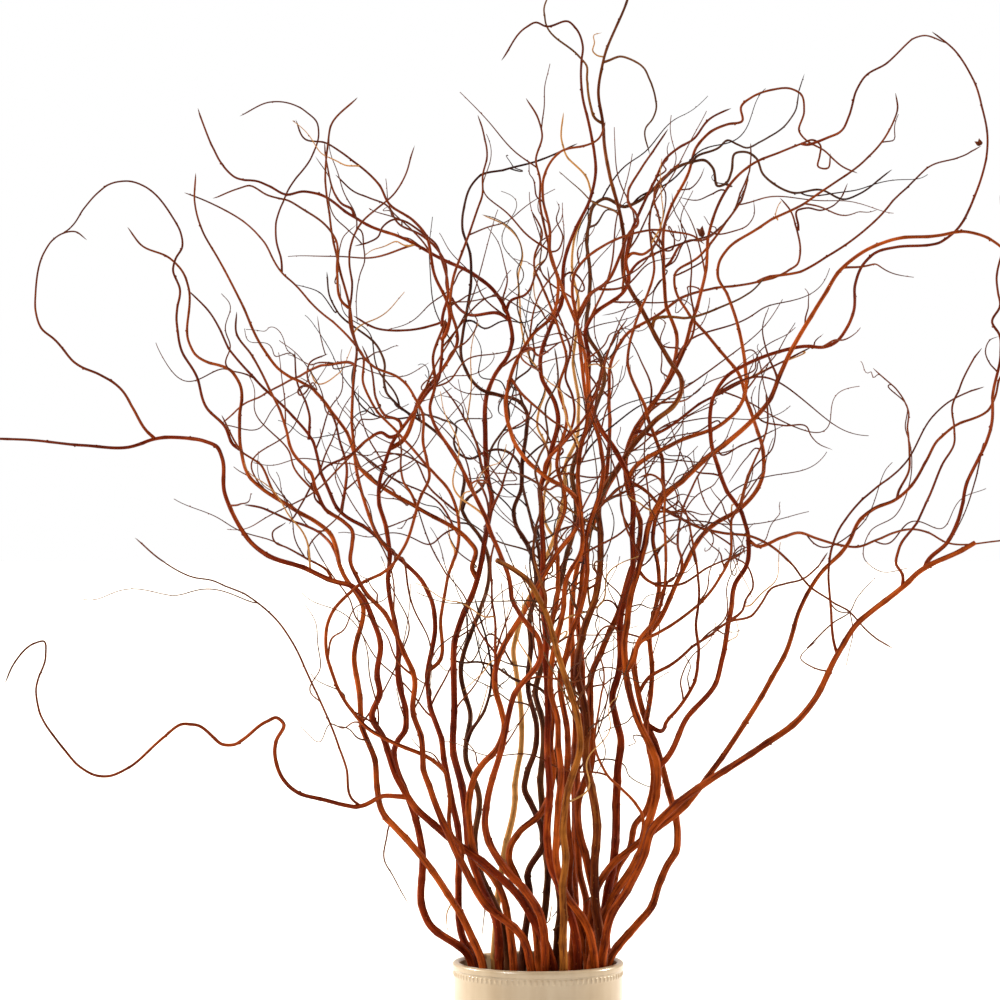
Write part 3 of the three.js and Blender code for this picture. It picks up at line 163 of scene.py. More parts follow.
class StemSettings(bpy.types.PropertyGroup):
    """Sizes and colours of the stems."""

    joint_spacing: FloatProperty(
        name="Joint spacing",
        description="Length of stem between two buds",
        default=0.034,
        min=0.01,
        unit="LENGTH",
    )
    crook: FloatProperty(
        name="Crook",
        description="How far the stem steps aside at each joint",
        default=0.0011,
        min=0.0,
        unit="LENGTH",
    )
    bud_length: FloatProperty(
        name="Bud length",
        description="Length of a winter bud",
        default=0.0032,
        min=0.001,
        unit="LENGTH",
    )
    twig_gap: FloatProperty(
        name="Twig gap",
        description="Average length of stem between two fine twigs",
        default=0.062,
        min=0.02,
        unit="LENGTH",
    )
    twig_length: FloatProperty(
        name="Twig length",
        description="Length of the longest fine twig",
        default=0.22,
        min=0.03,
        unit="LENGTH",
    )
    twig_top: FloatProperty(
        name="Twig top",
        description="Height above which no fine twig grows",
        default=1.22,
        min=0.3,
        unit="LENGTH",
    )
    russet: FloatVectorProperty(
        name="Russet bark",
        description="Colour of the red-brown bark",
        default=(0.185, 0.0195, 0.002),
        size=3,
        min=0.0,
        max=1.0,
        subtype="COLOR",
    )
    dark: FloatVectorProperty(
        name="Dark bark",
        description="Colour of the dark brown bark",
        default=(0.07, 0.0135, 0.004),
        size=3,
        min=0.0,
        max=1.0,
        subtype="COLOR",
    )
    olive: FloatVectorProperty(
        name="Olive bark",
        description="Colour of the olive-brown bark",
        default=(0.15, 0.029, 0.004),
        size=3,
        min=0.0,
        max=1.0,
        subtype="COLOR",
    )


class VaseSettings(bpy.types.PropertyGroup):
    """Sizes and colours of the vase."""

    beads: IntProperty(
        name="Beads",
        description="Number of small upright beads under the lip",
        default=90,
        min=12,
    )
    bead_height: FloatProperty(
        name="Bead relief",
        description="How far a bead stands off the wall",
        default=0.0009,
        min=0.0,
        unit="LENGTH",
    )
    glaze: FloatVectorProperty(
        name="Glaze",
        description="Colour of the glaze",
        default=(0.318, 0.250, 0.164),
        size=3,
        min=0.0,
        max=1.0,
        subtype="COLOR",
    )


class StageSettings(bpy.types.PropertyGroup):
    """The floor and the light."""

    floor_colour: FloatVectorProperty(
        name="Floor",
        description="Colour of the floor",
        default=(0.9, 0.9, 0.9),
        size=3,
        min=0.0,
        max=1.0,
        subtype="COLOR",
    )
    front_fill: FloatProperty(
        name="Front fill",
        description="Strength of the room's light from the front",
        default=0.22,
        min=0.0,
    )
    back_fill: FloatProperty(
        name="Back fill",
        description="Strength of the room's light from behind",
        default=0.75,
        min=0.0,
    )
    top_fill: FloatProperty(
        name="Top fill",
        description="Strength that is added straight overhead",
        default=0.3,
        min=0.0,
    )
    key_strength: FloatProperty(
        name="Key light",
        description="Strength of the main light, from the left front",
        default=2.2,
        min=0.0,
    )
    rim_strength: FloatProperty(
        name="Rim light",
        description="Strength of each light from the side and behind",
        default=4.4,
        min=0.0,
    )


# --------------------------------------------------------------------------------------------
# Paths: reading the stems' solids and running smooth lines through them


def unit(vectors):
    """Vectors divided by their lengths."""
    return vectors / np.linalg.norm(vectors, axis=-1, keepdims=True)


def read_rings(node):
    """Centres, radii and neighbours of the rings of corners that a stem's solid is made of.

    The longest edge at a corner runs along the stem. The two edges with the least length (0.9 + c),
    where c is the cosine of their angle to that edge, belong to its ring. A ring of N corners at
    distance R from its centre stands for a round stem of equal area: r = R sqrt(sin(a) / a) with
    a = 2 pi / N.
    """
    solid = bmesh.new()
    solid.from_mesh(node.data)
    bmesh.ops.remove_doubles(solid, verts=solid.verts, dist=2e-5)
    solid.verts.index_update()
    corners = np.array([corner.co for corner in solid.verts])
    edges = np.array([[end.index for end in edge.verts] for edge in solid.edges])
    solid.free()
    spans = corners[edges[:, 1]] - corners[edges[:, 0]]
    lengths = np.tile(np.linalg.norm(spans, axis=1), 2)
    headings = np.tile(unit(spans), (2, 1))
    starts = np.concatenate([edges[:, 0], edges[:, 1]])
    longest = np.lexsort((-lengths, starts))
    longest = longest[np.searchsorted(starts[longest], np.arange(len(corners)))]
    lying = np.abs(np.sum(headings * headings[longest][starts], axis=1))
    order = np.lexsort((lengths * (0.9 + lying), starts))
    rank = np.arange(len(order)) - np.searchsorted(starts[order], starts[order])
    votes = np.bincount(order[rank < 2] % len(edges), minlength=len(edges))
    sides = edges[votes == 2]
    label = np.arange(len(corners))
    for _ in range(5):
        np.minimum.at(label, sides[:, 0], label[sides[:, 1]])
        np.minimum.at(label, sides[:, 1], label[sides[:, 0]])
    ring_of = np.unique(label, return_inverse=True)[1]
    count = np.bincount(ring_of)
    sums = [np.bincount(ring_of, corners[:, axis]) for axis in range(3)]
    centres = np.stack(sums, axis=1) / count[:, None]
    reach = np.bincount(ring_of, np.linalg.norm(corners - centres[ring_of], axis=1)) / count
    turn = 2 * math.pi / count
    radii = reach * np.sqrt(np.sin(turn) / turn)
    if count.min() < 3 or count.max() > 5:
        raise RuntimeError(f"{node.name}: a ring has {count.min()} to {count.max()} corners")
    near = [set() for _ in count]
    for first, second in ring_of[edges]:
        if first != second:
            near[first].add(second)
            near[second].add(first)
    return centres, radii, near


def trace_lines(node):
    """Follows the rings of a stem from its butt, and each branch from where it leaves.

    Of the ways on from a ring, the one whose radius is nearest to its own carries on, and any
    other starts a branch. Returns a list of (points, radii, root), butt first, where root is the
    point on the parent's middle that a branch grows from, or None.
    """
    centres, radii, near = read_rings(node)
    lines = []
    seen = set()
    waiting = [(int(np.argmin(centres[:, 2])), None)]
    while waiting:
        ring, root = waiting.pop(0)
        line = []
        while ring is not None:
            seen.add(ring)
            line.append(ring)
            held = {start for start, _ in waiting}
            ahead = sorted(near[ring] - seen - held, key=lambda n: abs(radii[n] - radii[line[-1]]))
            for start in ahead[1:]:
                waiting.append((start, (centres[ring] + centres[ahead[0]]) / 2))
            ring = ahead[0] if ahead else None
        lines.append((centres[line], radii[line], root))
    return lines


def smooth_line(points, radii, step):
    """A curve through the points, with a point every step of its length.

    Between points it is the cubic with slopes m at its ends, p(t) = (2t^3 - 3t^2 + 1) p0
    + (t^3 - 2t^2 + t) m0 + (3t^2 - 2t^3) p1 + (t^3 - t^2) m1. Each slope is that of the parabola
    through a point and its neighbours, measured along the chords.
    """
    gaps = np.linalg.norm(np.diff(points, axis=0), axis=1)
    keep = np.concatenate([[True], gaps > 1e-5])
    points, radii = points[keep], radii[keep]
    gaps = np.linalg.norm(np.diff(points, axis=0), axis=1)
    at = np.concatenate([[0], np.cumsum(gaps)])
    slopes = np.gradient(points, at, axis=0)
    count = max(int(at[-1] / step), 4)
    wanted = np.linspace(0, at[-1], count + 1)
    k = np.clip(np.searchsorted(at, wanted, side="right") - 1, 0, len(gaps) - 1)
    t = ((wanted - at[k]) / gaps[k])[:, None]
    span = gaps[k][:, None]
    curve = (2 * t**3 - 3 * t**2 + 1) * points[k] + (t**3 - 2 * t**2 + t) * span * slopes[k]
    curve += (3 * t**2 - 2 * t**3) * points[k + 1] + (t**3 - t**2) * span * slopes[k + 1]
    return curve, np.interp(wanted, at, radii)


def frames_along(points):
    """The direction along a path and two directions across it, carried along without a twist.

    The first guess for across is square to the path and to a fixed lean. The roll between
    neighbours is the angle from a guess, moved over by the smallest turn, to the next guess; the
    running sum takes it off.
    """
    lean = [0.23, 0.97, 0.08]
    along = unit(np.gradient(points, axis=0))
    across = unit(np.cross(along, lean))
    third = np.cross(along, across)
    shared = along[:-1] + along[1:]
    fall = np.sum(across[:-1] * along[1:], axis=1) / (1 + np.sum(along[:-1] * along[1:], axis=1))
    moved = across[:-1] - fall[:, None] * shared
    roll = np.arctan2(np.sum(moved * third[1:], axis=1), np.sum(moved * across[1:], axis=1))
    total = np.concatenate([[0], np.cumsum(roll)])[:, None]
    first = np.cos(total) * across + np.sin(total) * third
    return along, first, np.cross(along, first)


def run_lengths(points):
    """Distance of each point of a path from its start."""
    steps = np.linalg.norm(np.diff(points, axis=0), axis=1)
    return np.concatenate([[0], np.cumsum(steps)])


# --------------------------------------------------------------------------------------------
# Shapes: each is a dict of corners, faces with their UVs, and the values bark reads per corner


def tube_faces(rings, sides):
    """Faces of a tube of rings, as (ring k and side j of each quad, the quads, the two caps).

    The quad at ring k, side j joins corners (k, j), (k, j + 1), (k + 1, j + 1) and (k + 1, j).
    """
    k, j = np.meshgrid(np.arange(rings - 1), np.arange(sides), indexing="ij")
    k, j = k.ravel(), j.ravel()
    after = (j + 1) % sides
    quads = np.stack(
        [k * sides + j, k * sides + after, (k + 1) * sides + after, (k + 1) * sides + j], axis=1
    )
    caps = np.stack([np.arange(sides)[::-1], (rings - 1) * sides + np.arange(sides)])
    return k, j, quads, caps


def tube_uv(k, j, sides, run):
    """UVs of a tube's quads: the share of the way round, and the length along in metres."""
    around = np.stack([j, j + 1, j + 1, j], axis=1) / sides
    up = np.stack([run[k], run[k], run[k + 1], run[k + 1]], axis=1)
    return np.stack([around, up], axis=2)


def sweep(points, radii, sides, tone, joint=None, oval=0.0):
    """A closed round tube: corner j of ring k is p_k + r_k w_kj (cos a_j u_k + sin a_j v_k).

    a_j = 2 pi j / sides, and w_kj = 1 + oval cos(2 a_j + 30 run_k) makes the section a little
    oval, with the oval turning as it goes along.
    """
    _, u, v = frames_along(points)
    run = run_lengths(points)
    angle = np.arange(sides) * 2 * math.pi / sides
    wide = 1 + oval * np.cos(2 * angle[None, :] + 30 * run[:, None])
    spoke = np.cos(angle)[None, :, None] * u[:, None, :] + np.sin(angle)[None, :, None] * v[:, None, :]
    corners = points[:, None, :] + (radii[:, None] * wide)[..., None] * spoke
    k, j, quads, caps = tube_faces(len(points), sides)
    last = (len(points) - 1) * sides
    cap_uv = np.stack([caps % sides / sides, np.where(caps < last, 0, run[-1])], axis=2)
    joint = np.zeros(len(points)) if joint is None else joint
    return {
        "corners": corners.reshape(-1, 3),
        "faces": [(quads, tube_uv(k, j, sides, run)), (caps, cap_uv)],
        "girth": np.repeat(radii / MM, sides),
        "joint": np.repeat(joint, sides),
        "tone": np.full(len(points) * sides, tone),
    }


def bud_template(rings=5, sides=6):
    """A teardrop lying along +Z with its back on the stem: width sin(pi t^0.62) at height t."""
    t = np.linspace(0.02, 1, rings)
    width = np.sin(math.pi * np.clip(t, 0, 0.985) ** 0.62)
    angle = np.arange(sides) * 2 * math.pi / sides
    x = width[:, None] * np.cos(angle)[None, :] * 0.34
    y = width[:, None] * np.sin(angle)[None, :] * 0.26 + 0.1 * np.sin(math.pi * t)[:, None]
    z = np.repeat(t[:, None], sides, axis=1)
    corners = np.stack([x, y, z], axis=2).reshape(-1, 3)
    _, _, quads, caps = tube_faces(rings, sides)
    return corners, quads, caps


def place_buds(places, along, outward, lengths, tone, girth=1.4):
    """A bud at each place: corner = place + length (x side + y outward + z along)."""
    corners, quads, caps = bud_template()
    side = np.cross(outward, along)
    axes = np.stack([side, outward, along], axis=1) * lengths[:, None, None]
    placed = places[:, None, :] + np.einsum("ck,bkd->bcd", corners, axes)
    offset = (np.arange(len(places)) * len(corners))[:, None, None]
    quads = (quads[None] + offset).reshape(-1, quads.shape[1])
    caps = (caps[None] + offset).reshape(-1, caps.shape[1])
    uv = np.tile(corners[:, 1:] * 0.01, (len(places), 1))
    total = len(places) * len(corners)
    return {
        "corners": placed.reshape(-1, 3),
        "faces": [(quads, uv[quads]), (caps, uv[caps])],
        "girth": np.full(total, girth),
        "joint": np.full(total, 0.6),
        "tone": np.full(total, tone),
    }


def make_piece(name, shapes, material):
    """One object at the origin, made of the shapes, smooth, with its UVs and its bark values."""
    starts = np.cumsum([0] + [len(shape["corners"]) for shape in shapes])
    corners = np.concatenate([shape["corners"] for shape in shapes])
    groups = [
        (faces + start, uv)
        for shape, start in zip(shapes, starts)
        for faces, uv in shape["faces"]
    ]
    sizes = np.concatenate([np.full(len(faces), faces.shape[1]) for faces, _ in groups])
    mesh = bpy.data.meshes.new(name)
    mesh.vertices.add(len(corners))
    mesh.vertices.foreach_set("co", corners.astype(np.float32).ravel())
    mesh.loops.add(int(sizes.sum()))
    mesh.polygons.add(len(sizes))
    mesh.polygons.foreach_set("loop_start", np.concatenate([[0], np.cumsum(sizes)[:-1]]))
    mesh.polygons.foreach_set("vertices", np.concatenate([faces.ravel() for faces, _ in groups]))
    mesh.update(calc_edges=True)
    layer = mesh.uv_layers.new(name="wrap")
    uvs = np.concatenate([uv.reshape(-1, 2) for _, uv in groups])
    layer.uv.foreach_set("vector", uvs.astype(np.float32).ravel())
    for value in ("girth", "joint", "tone"):
        if value in shapes[0]:
            data = np.concatenate([shape[value] for shape in shapes]).astype(np.float32)
            mesh.attributes.new(value, "FLOAT", "POINT").data.foreach_set("value", data)
    mesh.shade_smooth()
    mesh.validate()
    mesh.materials.append(material)
    piece = bpy.data.objects.new(name, mesh)
    bpy.context.scene.collection.objects.link(piece)
    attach(piece, "root")
    return piece


# --------------------------------------------------------------------------------------------
# Materials

# Shades of a bark, as factors of its colour: between the streaks (partly the bark's own darker streaks,
# partly painted shade in the grooves of the bump), on the warmest branches, on the brightest streaks (a
# painted highlight), on the pores and on the finest twigs
DEEP_STREAK_AND_SHADE = (0.26, 0.16, 0.2)
WARM = (1.5, 2.5, 2.4)
PAINTED_HIGHLIGHT = (2.3, 4.6, 6.0)
PALE = (2.4, 5.6, 9.0)
DULL = (0.22, 0.75, 2.8)
# The golden bark: a painted highlight, a lit golden colour laid over whole branches of golden tone
GOLDEN_PAINTED_HIGHLIGHT = (0.44, 0.22, 0.065)


def add_node(tree, kind, **values):
    """A node of the tree, with its properties set by name and its sockets by name or number."""
    node = tree.nodes.new(kind)
    for key, value in values.items():
        if key == "inputs":
            for socket, given in value.items():
                node.inputs[socket].default_value = given
        else:
            setattr(node, key, value)
    return node


def maths(tree, operation, first, second=None):
    """A Math node on one or two values, each a number or another node's socket."""
    node = add_node(tree, "ShaderNodeMath", operation=operation)
    for socket, given in zip(node.inputs, (first, second)):
        if isinstance(given, (int, float)):
            socket.default_value = given
        elif given is not None:
            tree.links.new(given, socket)
    return node.outputs[0]


def mix_colours(tree, share, first, second, blend="MIX"):
    """A Mix node on two colours, each three numbers or another node's socket."""
    node = add_node(tree, "ShaderNodeMix", data_type="RGBA", blend_type=blend)
    for socket, given in zip((node.inputs[0], node.inputs[6], node.inputs[7]), (share, first, second)):
        if isinstance(given, (int, float)):
            socket.default_value = given
        elif isinstance(given, (tuple, list)):
            socket.default_value = (*given, 1.0)
        else:
            tree.links.new(given, socket)
    return node.outputs[2]


def start_material(name, roughness):
    """A material with its Principled shader and output joined."""
    material = bpy.data.materials.new(name)
    material.use_nodes = True
    tree = material.node_tree
    tree.nodes.clear()
    shader = add_node(tree, "ShaderNodeBsdfPrincipled", inputs={"Roughness": roughness})
    output = add_node(tree, "ShaderNodeOutputMaterial")
    tree.links.new(shader.outputs[0], output.inputs[0])
    return material, tree, shader


def noise(tree, vector, scale, detail=3.0, rough=0.55):
    """A noise pattern on a vector, as a value from 0 to 1."""
    node = add_node(
        tree, "ShaderNodeTexNoise", inputs={"Scale": scale, "Detail": detail, "Roughness": rough}
    )
    tree.links.new(vector, node.inputs["Vector"])
    return node.outputs["Fac"]


def ranged(tree, value, low, high, out_low=0.0, out_high=1.0):
    """A value stretched from one range to another and held inside it."""
    node = add_node(
        tree,
        "ShaderNodeMapRange",
        inputs={"From Min": low, "From Max": high, "To Min": out_low, "To Max": out_high},
    )
    tree.links.new(value, node.inputs[0])
    return node.outputs[0]


def wrapped_vector(tree, around, along):
    """The UVs rolled into a tube, so that a pattern meets itself: (c cos, c sin, length)."""
    uv = add_node(tree, "ShaderNodeUVMap", uv_map="wrap").outputs[0]
    split = add_node(tree, "ShaderNodeSeparateXYZ")
    tree.links.new(uv, split.inputs[0])
    angle = maths(tree, "MULTIPLY", split.outputs[0], 2 * math.pi)
    join = add_node(tree, "ShaderNodeCombineXYZ")
    cosine = maths(tree, "COSINE", angle)
    sine = maths(tree, "SINE", angle)
    tree.links.new(maths(tree, "MULTIPLY", cosine, around), join.inputs[0])
    tree.links.new(maths(tree, "MULTIPLY", sine, around), join.inputs[1])
    tree.links.new(maths(tree, "MULTIPLY", split.outputs[1], along), join.inputs[2])
    return join.outputs[0]


def attribute(tree, name):
    """A value stored on the piece's corners."""
    return add_node(tree, "ShaderNodeAttribute", attribute_name=name).outputs["Fac"]


def shade(colour, factors):
    """A colour with each channel multiplied by its factor, held from 0 to 1."""
    return tuple(np.clip(np.array(colour) * np.array(factors), 0, 1))


def raise_bumps(tree, shader, height, strength, distance):
    """Tilts a surface's shading by a height pattern."""
    bump = add_node(tree, "ShaderNodeBump", inputs={"Strength": strength, "Distance": distance})
    tree.links.new(height, bump.inputs["Height"])
    tree.links.new(bump.outputs[0], shader.inputs["Normal"])


def bark_pores(tree):
    """Pores on the thicker stems, as a value from 0 to 1."""
    pores = add_node(tree, "ShaderNodeTexVoronoi", inputs={"Scale": 1.0, "Randomness": 1.0})
    tree.links.new(wrapped_vector(tree, 2.4, 150.0), pores.inputs["Vector"])
    spots = ranged(tree, pores.outputs["Distance"], 0.17, 0.09)
    thick = ranged(tree, attribute(tree, "girth"), 1.2, 3.2)
    return maths(tree, "MULTIPLY", spots, thick)


def bark_colour(tree, colour, streaks, pores):
    """Streaks and blotches from deep to bright, with pale pores, dull twigs and dark joints; the deep
    part is partly painted shade in the grooves, the bright part and the golden branches are painted
    highlight.
    """
    place = add_node(tree, "ShaderNodeTexCoord").outputs["Object"]
    blotches = noise(tree, place, 13.0, 4.0, 0.6)
    tone = attribute(tree, "tone")
    body = mix_colours(tree, ranged(tree, tone, 0.25, 0.95), shade(colour, 0.8), shade(colour, WARM))
    mixed = maths(tree, "MULTIPLY", streaks, 0.65)
    mixed = maths(tree, "ADD", mixed, maths(tree, "MULTIPLY", blotches, 0.35))
    # Painted shade: the deep colour fills the low streaks, the grooves of the bump, and is partly the
    # bark's own darker streaks and blotches
    base = mix_colours(tree, ranged(tree, mixed, 0.40, 0.54), shade(colour, DEEP_STREAK_AND_SHADE), body)
    # Painted highlight: a bright yellow colour on the highest streaks and blotches
    base = mix_colours(tree, ranged(tree, mixed, 0.54, 0.70), base, shade(colour, PAINTED_HIGHLIGHT))
    base = mix_colours(tree, maths(tree, "MULTIPLY", pores, 0.6), base, shade(colour, PALE))
    thin = ranged(tree, attribute(tree, "girth"), 1.9, 0.7)
    base = mix_colours(tree, maths(tree, "MULTIPLY", thin, 0.75), base, shade(colour, DULL))
    # Painted highlight: the golden colour over whole branches of golden tone
    base = mix_colours(tree, ranged(tree, tone, 1.2, 2.0), base, GOLDEN_PAINTED_HIGHLIGHT)
    joints = maths(tree, "MULTIPLY", attribute(tree, "joint"), 0.3)
    return mix_colours(tree, joints, base, shade(colour, 0.2))


def make_bark(name, colour):
    """Smooth young bark: long streaks, blotches, dark joints, pale pores, a tone for each branch;
    painted shade in the grooves, painted highlight on the bright streaks and on the golden branches.
    """
    material, tree, shader = start_material(name, 0.42)
    streaks = noise(tree, wrapped_vector(tree, 1.7, 24.0), 1.0, 7.0, 0.68)
    pores = bark_pores(tree)
    tree.links.new(bark_colour(tree, colour, streaks, pores), shader.inputs["Base Color"])
    tree.links.new(ranged(tree, streaks, 0.3, 0.7, 0.42, 0.6), shader.inputs["Roughness"])
    shader.inputs["Specular IOR Level"].default_value = 0.04
    height = maths(tree, "ADD", streaks, maths(tree, "MULTIPLY", pores, 0.8))
    raise_bumps(tree, shader, height, 0.8, 0.0007)
    return material


def make_glaze(name, colour):
    """Warm cream glaze: soft clouding, faint runs down the wall and fine specks."""
    material, tree, shader = start_material(name, 0.28)
    place = add_node(tree, "ShaderNodeTexCoord").outputs["Object"]
    clouds = noise(tree, place, 14.0, 4.0)
    stretch = add_node(tree, "ShaderNodeMapping", inputs={"Scale": (60.0, 60.0, 5.0)})
    tree.links.new(place, stretch.inputs[0])
    runs = noise(tree, stretch.outputs[0], 1.0, 3.0)
    mottle = maths(tree, "MULTIPLY", clouds, 0.6)
    mottle = maths(tree, "ADD", mottle, maths(tree, "MULTIPLY", runs, 0.4))
    warm = shade(colour, (0.86, 0.82, 0.76))
    pale = shade(colour, (1.12, 1.15, 1.2))
    base = mix_colours(tree, ranged(tree, mottle, 0.35, 0.65), warm, pale)
    specks = add_node(tree, "ShaderNodeTexVoronoi", inputs={"Scale": 260.0, "Randomness": 1.0})
    tree.links.new(place, specks.inputs["Vector"])
    dots = ranged(tree, specks.outputs["Distance"], 0.11, 0.06)
    base = mix_colours(tree, maths(tree, "MULTIPLY", dots, 0.35), base, shade(colour, 0.45))
    tree.links.new(base, shader.inputs["Base Color"])
    shader.inputs["Coat Weight"].default_value = 0.4
    shader.inputs["Coat Roughness"].default_value = 0.12
    raise_bumps(tree, shader, clouds, 0.25, 0.0006)
    return material


def make_barks(settings):
    """The bark of each record slot."""
    return {
        "russet_bark": make_bark("russet_willow_bark", tuple(settings.russet)),
        "dark_bark": make_bark("dark_willow_bark", tuple(settings.dark)),
        "olive_bark": make_bark("olive_willow_bark", tuple(settings.olive)),
    }


# --------------------------------------------------------------------------------------------
# Stems


def crook_line(points, run, joints, size, random):
    """Steps a path aside at its joints and straight between them, fading in above the mouth.

    The offset at run s is the straight interpolation of a random offset drawn at each joint.
    """
    offsets = random.normal(0, size, (len(joints), 3))
    offset = np.stack([np.interp(run, joints, offsets[:, axis]) for axis in range(3)], axis=1)
    above = (points[:, 2] - MOUTH) / CROOK_RISE
    fade = np.clip(above, 0, 1) * np.clip(run / CROOK_START, 0, 1)
    return points + offset * fade[:, None]


def joint_marks(run, joints, width):
    """A hump of height 1 at each joint: exp(-((s - joint) / width)^2) for the nearest joint."""
    ahead = np.clip(np.searchsorted(joints, run), 1, len(joints) - 1)
    gap = np.minimum(np.abs(run - joints[ahead]), np.abs(run - joints[ahead - 1]))
    return np.exp(-((gap / width) ** 2))


def taper_tip(run, radii, cut):
    """Radii that run out to a point over the last few millimetres, unless the end is cut."""
    left = run[-1] - run
    if cut:
        return radii
    return radii * np.clip(TIP_SHARE + (left / TAPER_LENGTH) ** TAPER_POWER, 0, 1)


def stem_buds(curve, thick, run, joints, random, tone, settings):
    """Buds at most of the joints above the mouth, turned round the stem as they go up."""
    along, u, v = frames_along(curve)
    inside = joints[(joints > 0.01) & (joints < run[-1] - 0.003)]
    at = np.searchsorted(run, inside)
    turn = np.cumsum(np.full(len(at), BUD_TURN)) + random.uniform(-0.4, 0.4, len(at))
    out = np.cos(turn)[:, None] * u[at] + np.sin(turn)[:, None] * v[at]
    shown = (curve[at][:, 2] > MOUTH + 0.01) & (random.random(len(at)) < BUDDED)
    if not shown.any():
        return []
    at, out = at[shown], out[shown]
    lean = unit(along[at] + 0.18 * out)
    out = unit(out - np.sum(out * lean, axis=1)[:, None] * lean)
    sizes = settings.bud_length * random.uniform(0.7, 1.1, len(at))
    sizes = sizes * np.clip(thick[at] / 0.0016, 0.55, 1.0)
    places = curve[at] + out * (thick[at] * 0.9)[:, None]
    return [place_buds(places, lean, out, sizes, tone)]


def grow_line(points, radii, random, tone, cut, settings):
    """One stem or branch, as a swept tube with swollen joints, and its buds."""
    curve, thick = smooth_line(points, radii, STEM_STEP)
    run = run_lengths(curve)
    gap = settings.joint_spacing
    joints = np.arange(random.uniform(0.2, 0.9) * gap, run[-1] + gap, gap)
    joints = joints + random.uniform(-0.3, 0.3, len(joints)) * gap
    curve = crook_line(curve, run, joints, settings.crook, random)
    width = np.clip(np.mean(thick), 0.0008, 0.004) * 1.1
    mark = joint_marks(run, joints, width)
    thick = taper_tip(run, thick * (1 + SWELLING * mark), cut)
    sides = THICK_SIDES if radii.max() > THIN_RADIUS else THIN_SIDES
    shapes = [sweep(curve, thick, sides, tone, mark, OVALNESS)]
    shapes += stem_buds(curve, thick, run, joints, random, tone, settings)
    return shapes, curve, thick


def curl_twig(start, heading, length, random):
    """A fine twig's path, whose heading wanders smoothly and rises a little.

    heading(s) = start heading + curl (w(s) - w(0)) + rise s, where w is the sum of three sine
    waves of random height and phase on each axis. The path is the running sum of the headings.
    """
    count = max(int(length / 0.0035), 6)
    s = np.linspace(0, 1, count)
    waves = [
        random.normal(0, 1, 3)[None, :] * np.sin(2 * math.pi * (f * s[:, None] + random.random(3)))
        for f in (0.5, 1.0, 2.1)
    ]
    turning = np.sum(waves, axis=0)
    curl = 0.3
    rise = np.array([0, 0, 0.25])
    headings = unit(heading + curl * (turning - turning[0]) + rise * s[:, None])
    steps = headings * length / count
    return start + np.cumsum(steps, axis=0) - steps[0]


def inside_bounds(points):
    """True if a path stays inside the box of the solids."""
    low, high = (np.array(corner) for corner in SOLID_BOUNDS)
    return bool(np.all(points > low + 0.001) and np.all(points < high - 0.001))


def twig_chance(place):
    """How likely a twig is to grow at a place: most in the middle of the bundle.

    It rises over 0.25 m above 0.35 m, falls as the distance from the axis nears 0.47 m, and falls
    again above 0.75 m. It is none below TWIG_LOWEST and outside the cone.
    """
    height = place[2]
    spread = math.hypot(place[0], place[1])
    if height < TWIG_LOWEST or spread > TWIG_CONE * height:
        return 0
    chance = min((height - 0.35) / 0.25, 1) * min(1.3 - spread / 0.36, 1)
    return chance * min((1.45 - height) / 0.7, 1)


def grow_twigs(curve, thick, random, settings):
    """Fine twigs along the upper part of a stem, each leaving at an angle and curling away."""
    along, u, v = frames_along(curve)
    run = run_lengths(curve)
    count = random.poisson(run[-1] / settings.twig_gap)
    shapes = []
    for _ in range(count):
        at = int(random.uniform(0.1, 0.97) * (len(curve) - 1))
        chance = twig_chance(curve[at])
        if chance == 0 or random.random() > chance:
            continue
        turn = random.uniform(0, 2 * math.pi)
        out = math.cos(turn) * u[at] + math.sin(turn) * v[at]
        heading = 0.75 * along[at] + 0.65 * out
        length = random.uniform(0.2, 1.0) ** 1.4 * settings.twig_length + 0.02
        path = curl_twig(curve[at], heading, length, random)
        if not inside_bounds(path) or path[:, 2].max() > settings.twig_top:
            continue
        base = min(random.uniform(*TWIG_ROOT), thick[at] * 0.75)
        radii = np.linspace(base, TWIG_TIP, len(path))
        fine, widths = smooth_line(path, radii, TWIG_STEP)
        tone = GOLDEN_HIGHLIGHT_TONE if random.random() < GOLDEN_HIGHLIGHT_TWIGS else random.uniform(0, 1)
        shapes.append(sweep(fine, widths, TWIG_SIDES, tone))
        shapes += twig_buds(fine, widths, random, settings)
    return shapes


def twig_buds(path, radii, random, settings):
    """Small buds on a fine twig, one every joint or so, turned round it as they go up."""
    run = run_lengths(path)
    places = np.arange(0.012, run[-1] - 0.004, settings.joint_spacing * 0.7)
    if len(places) == 0:
        return []
    at = np.searchsorted(run, places)
    along, u, v = frames_along(path)
    turn = BUD_TURN * np.arange(len(at)) + random.uniform(0, 6)
    out = np.cos(turn)[:, None] * u[at] + np.sin(turn)[:, None] * v[at]
    sizes = settings.bud_length * random.uniform(0.5, 0.8, len(at))
    start = path[at] + out * radii[at][:, None] * 0.7
    return [place_buds(start, along[at], out, sizes, 0.3)]


# --------------------------------------------------------------------------------------------
# Twigs and dried leaves in known places: each is drawn from the front, as (x, z) in millimetres,
# and lies at the depth of the stem that it leaves


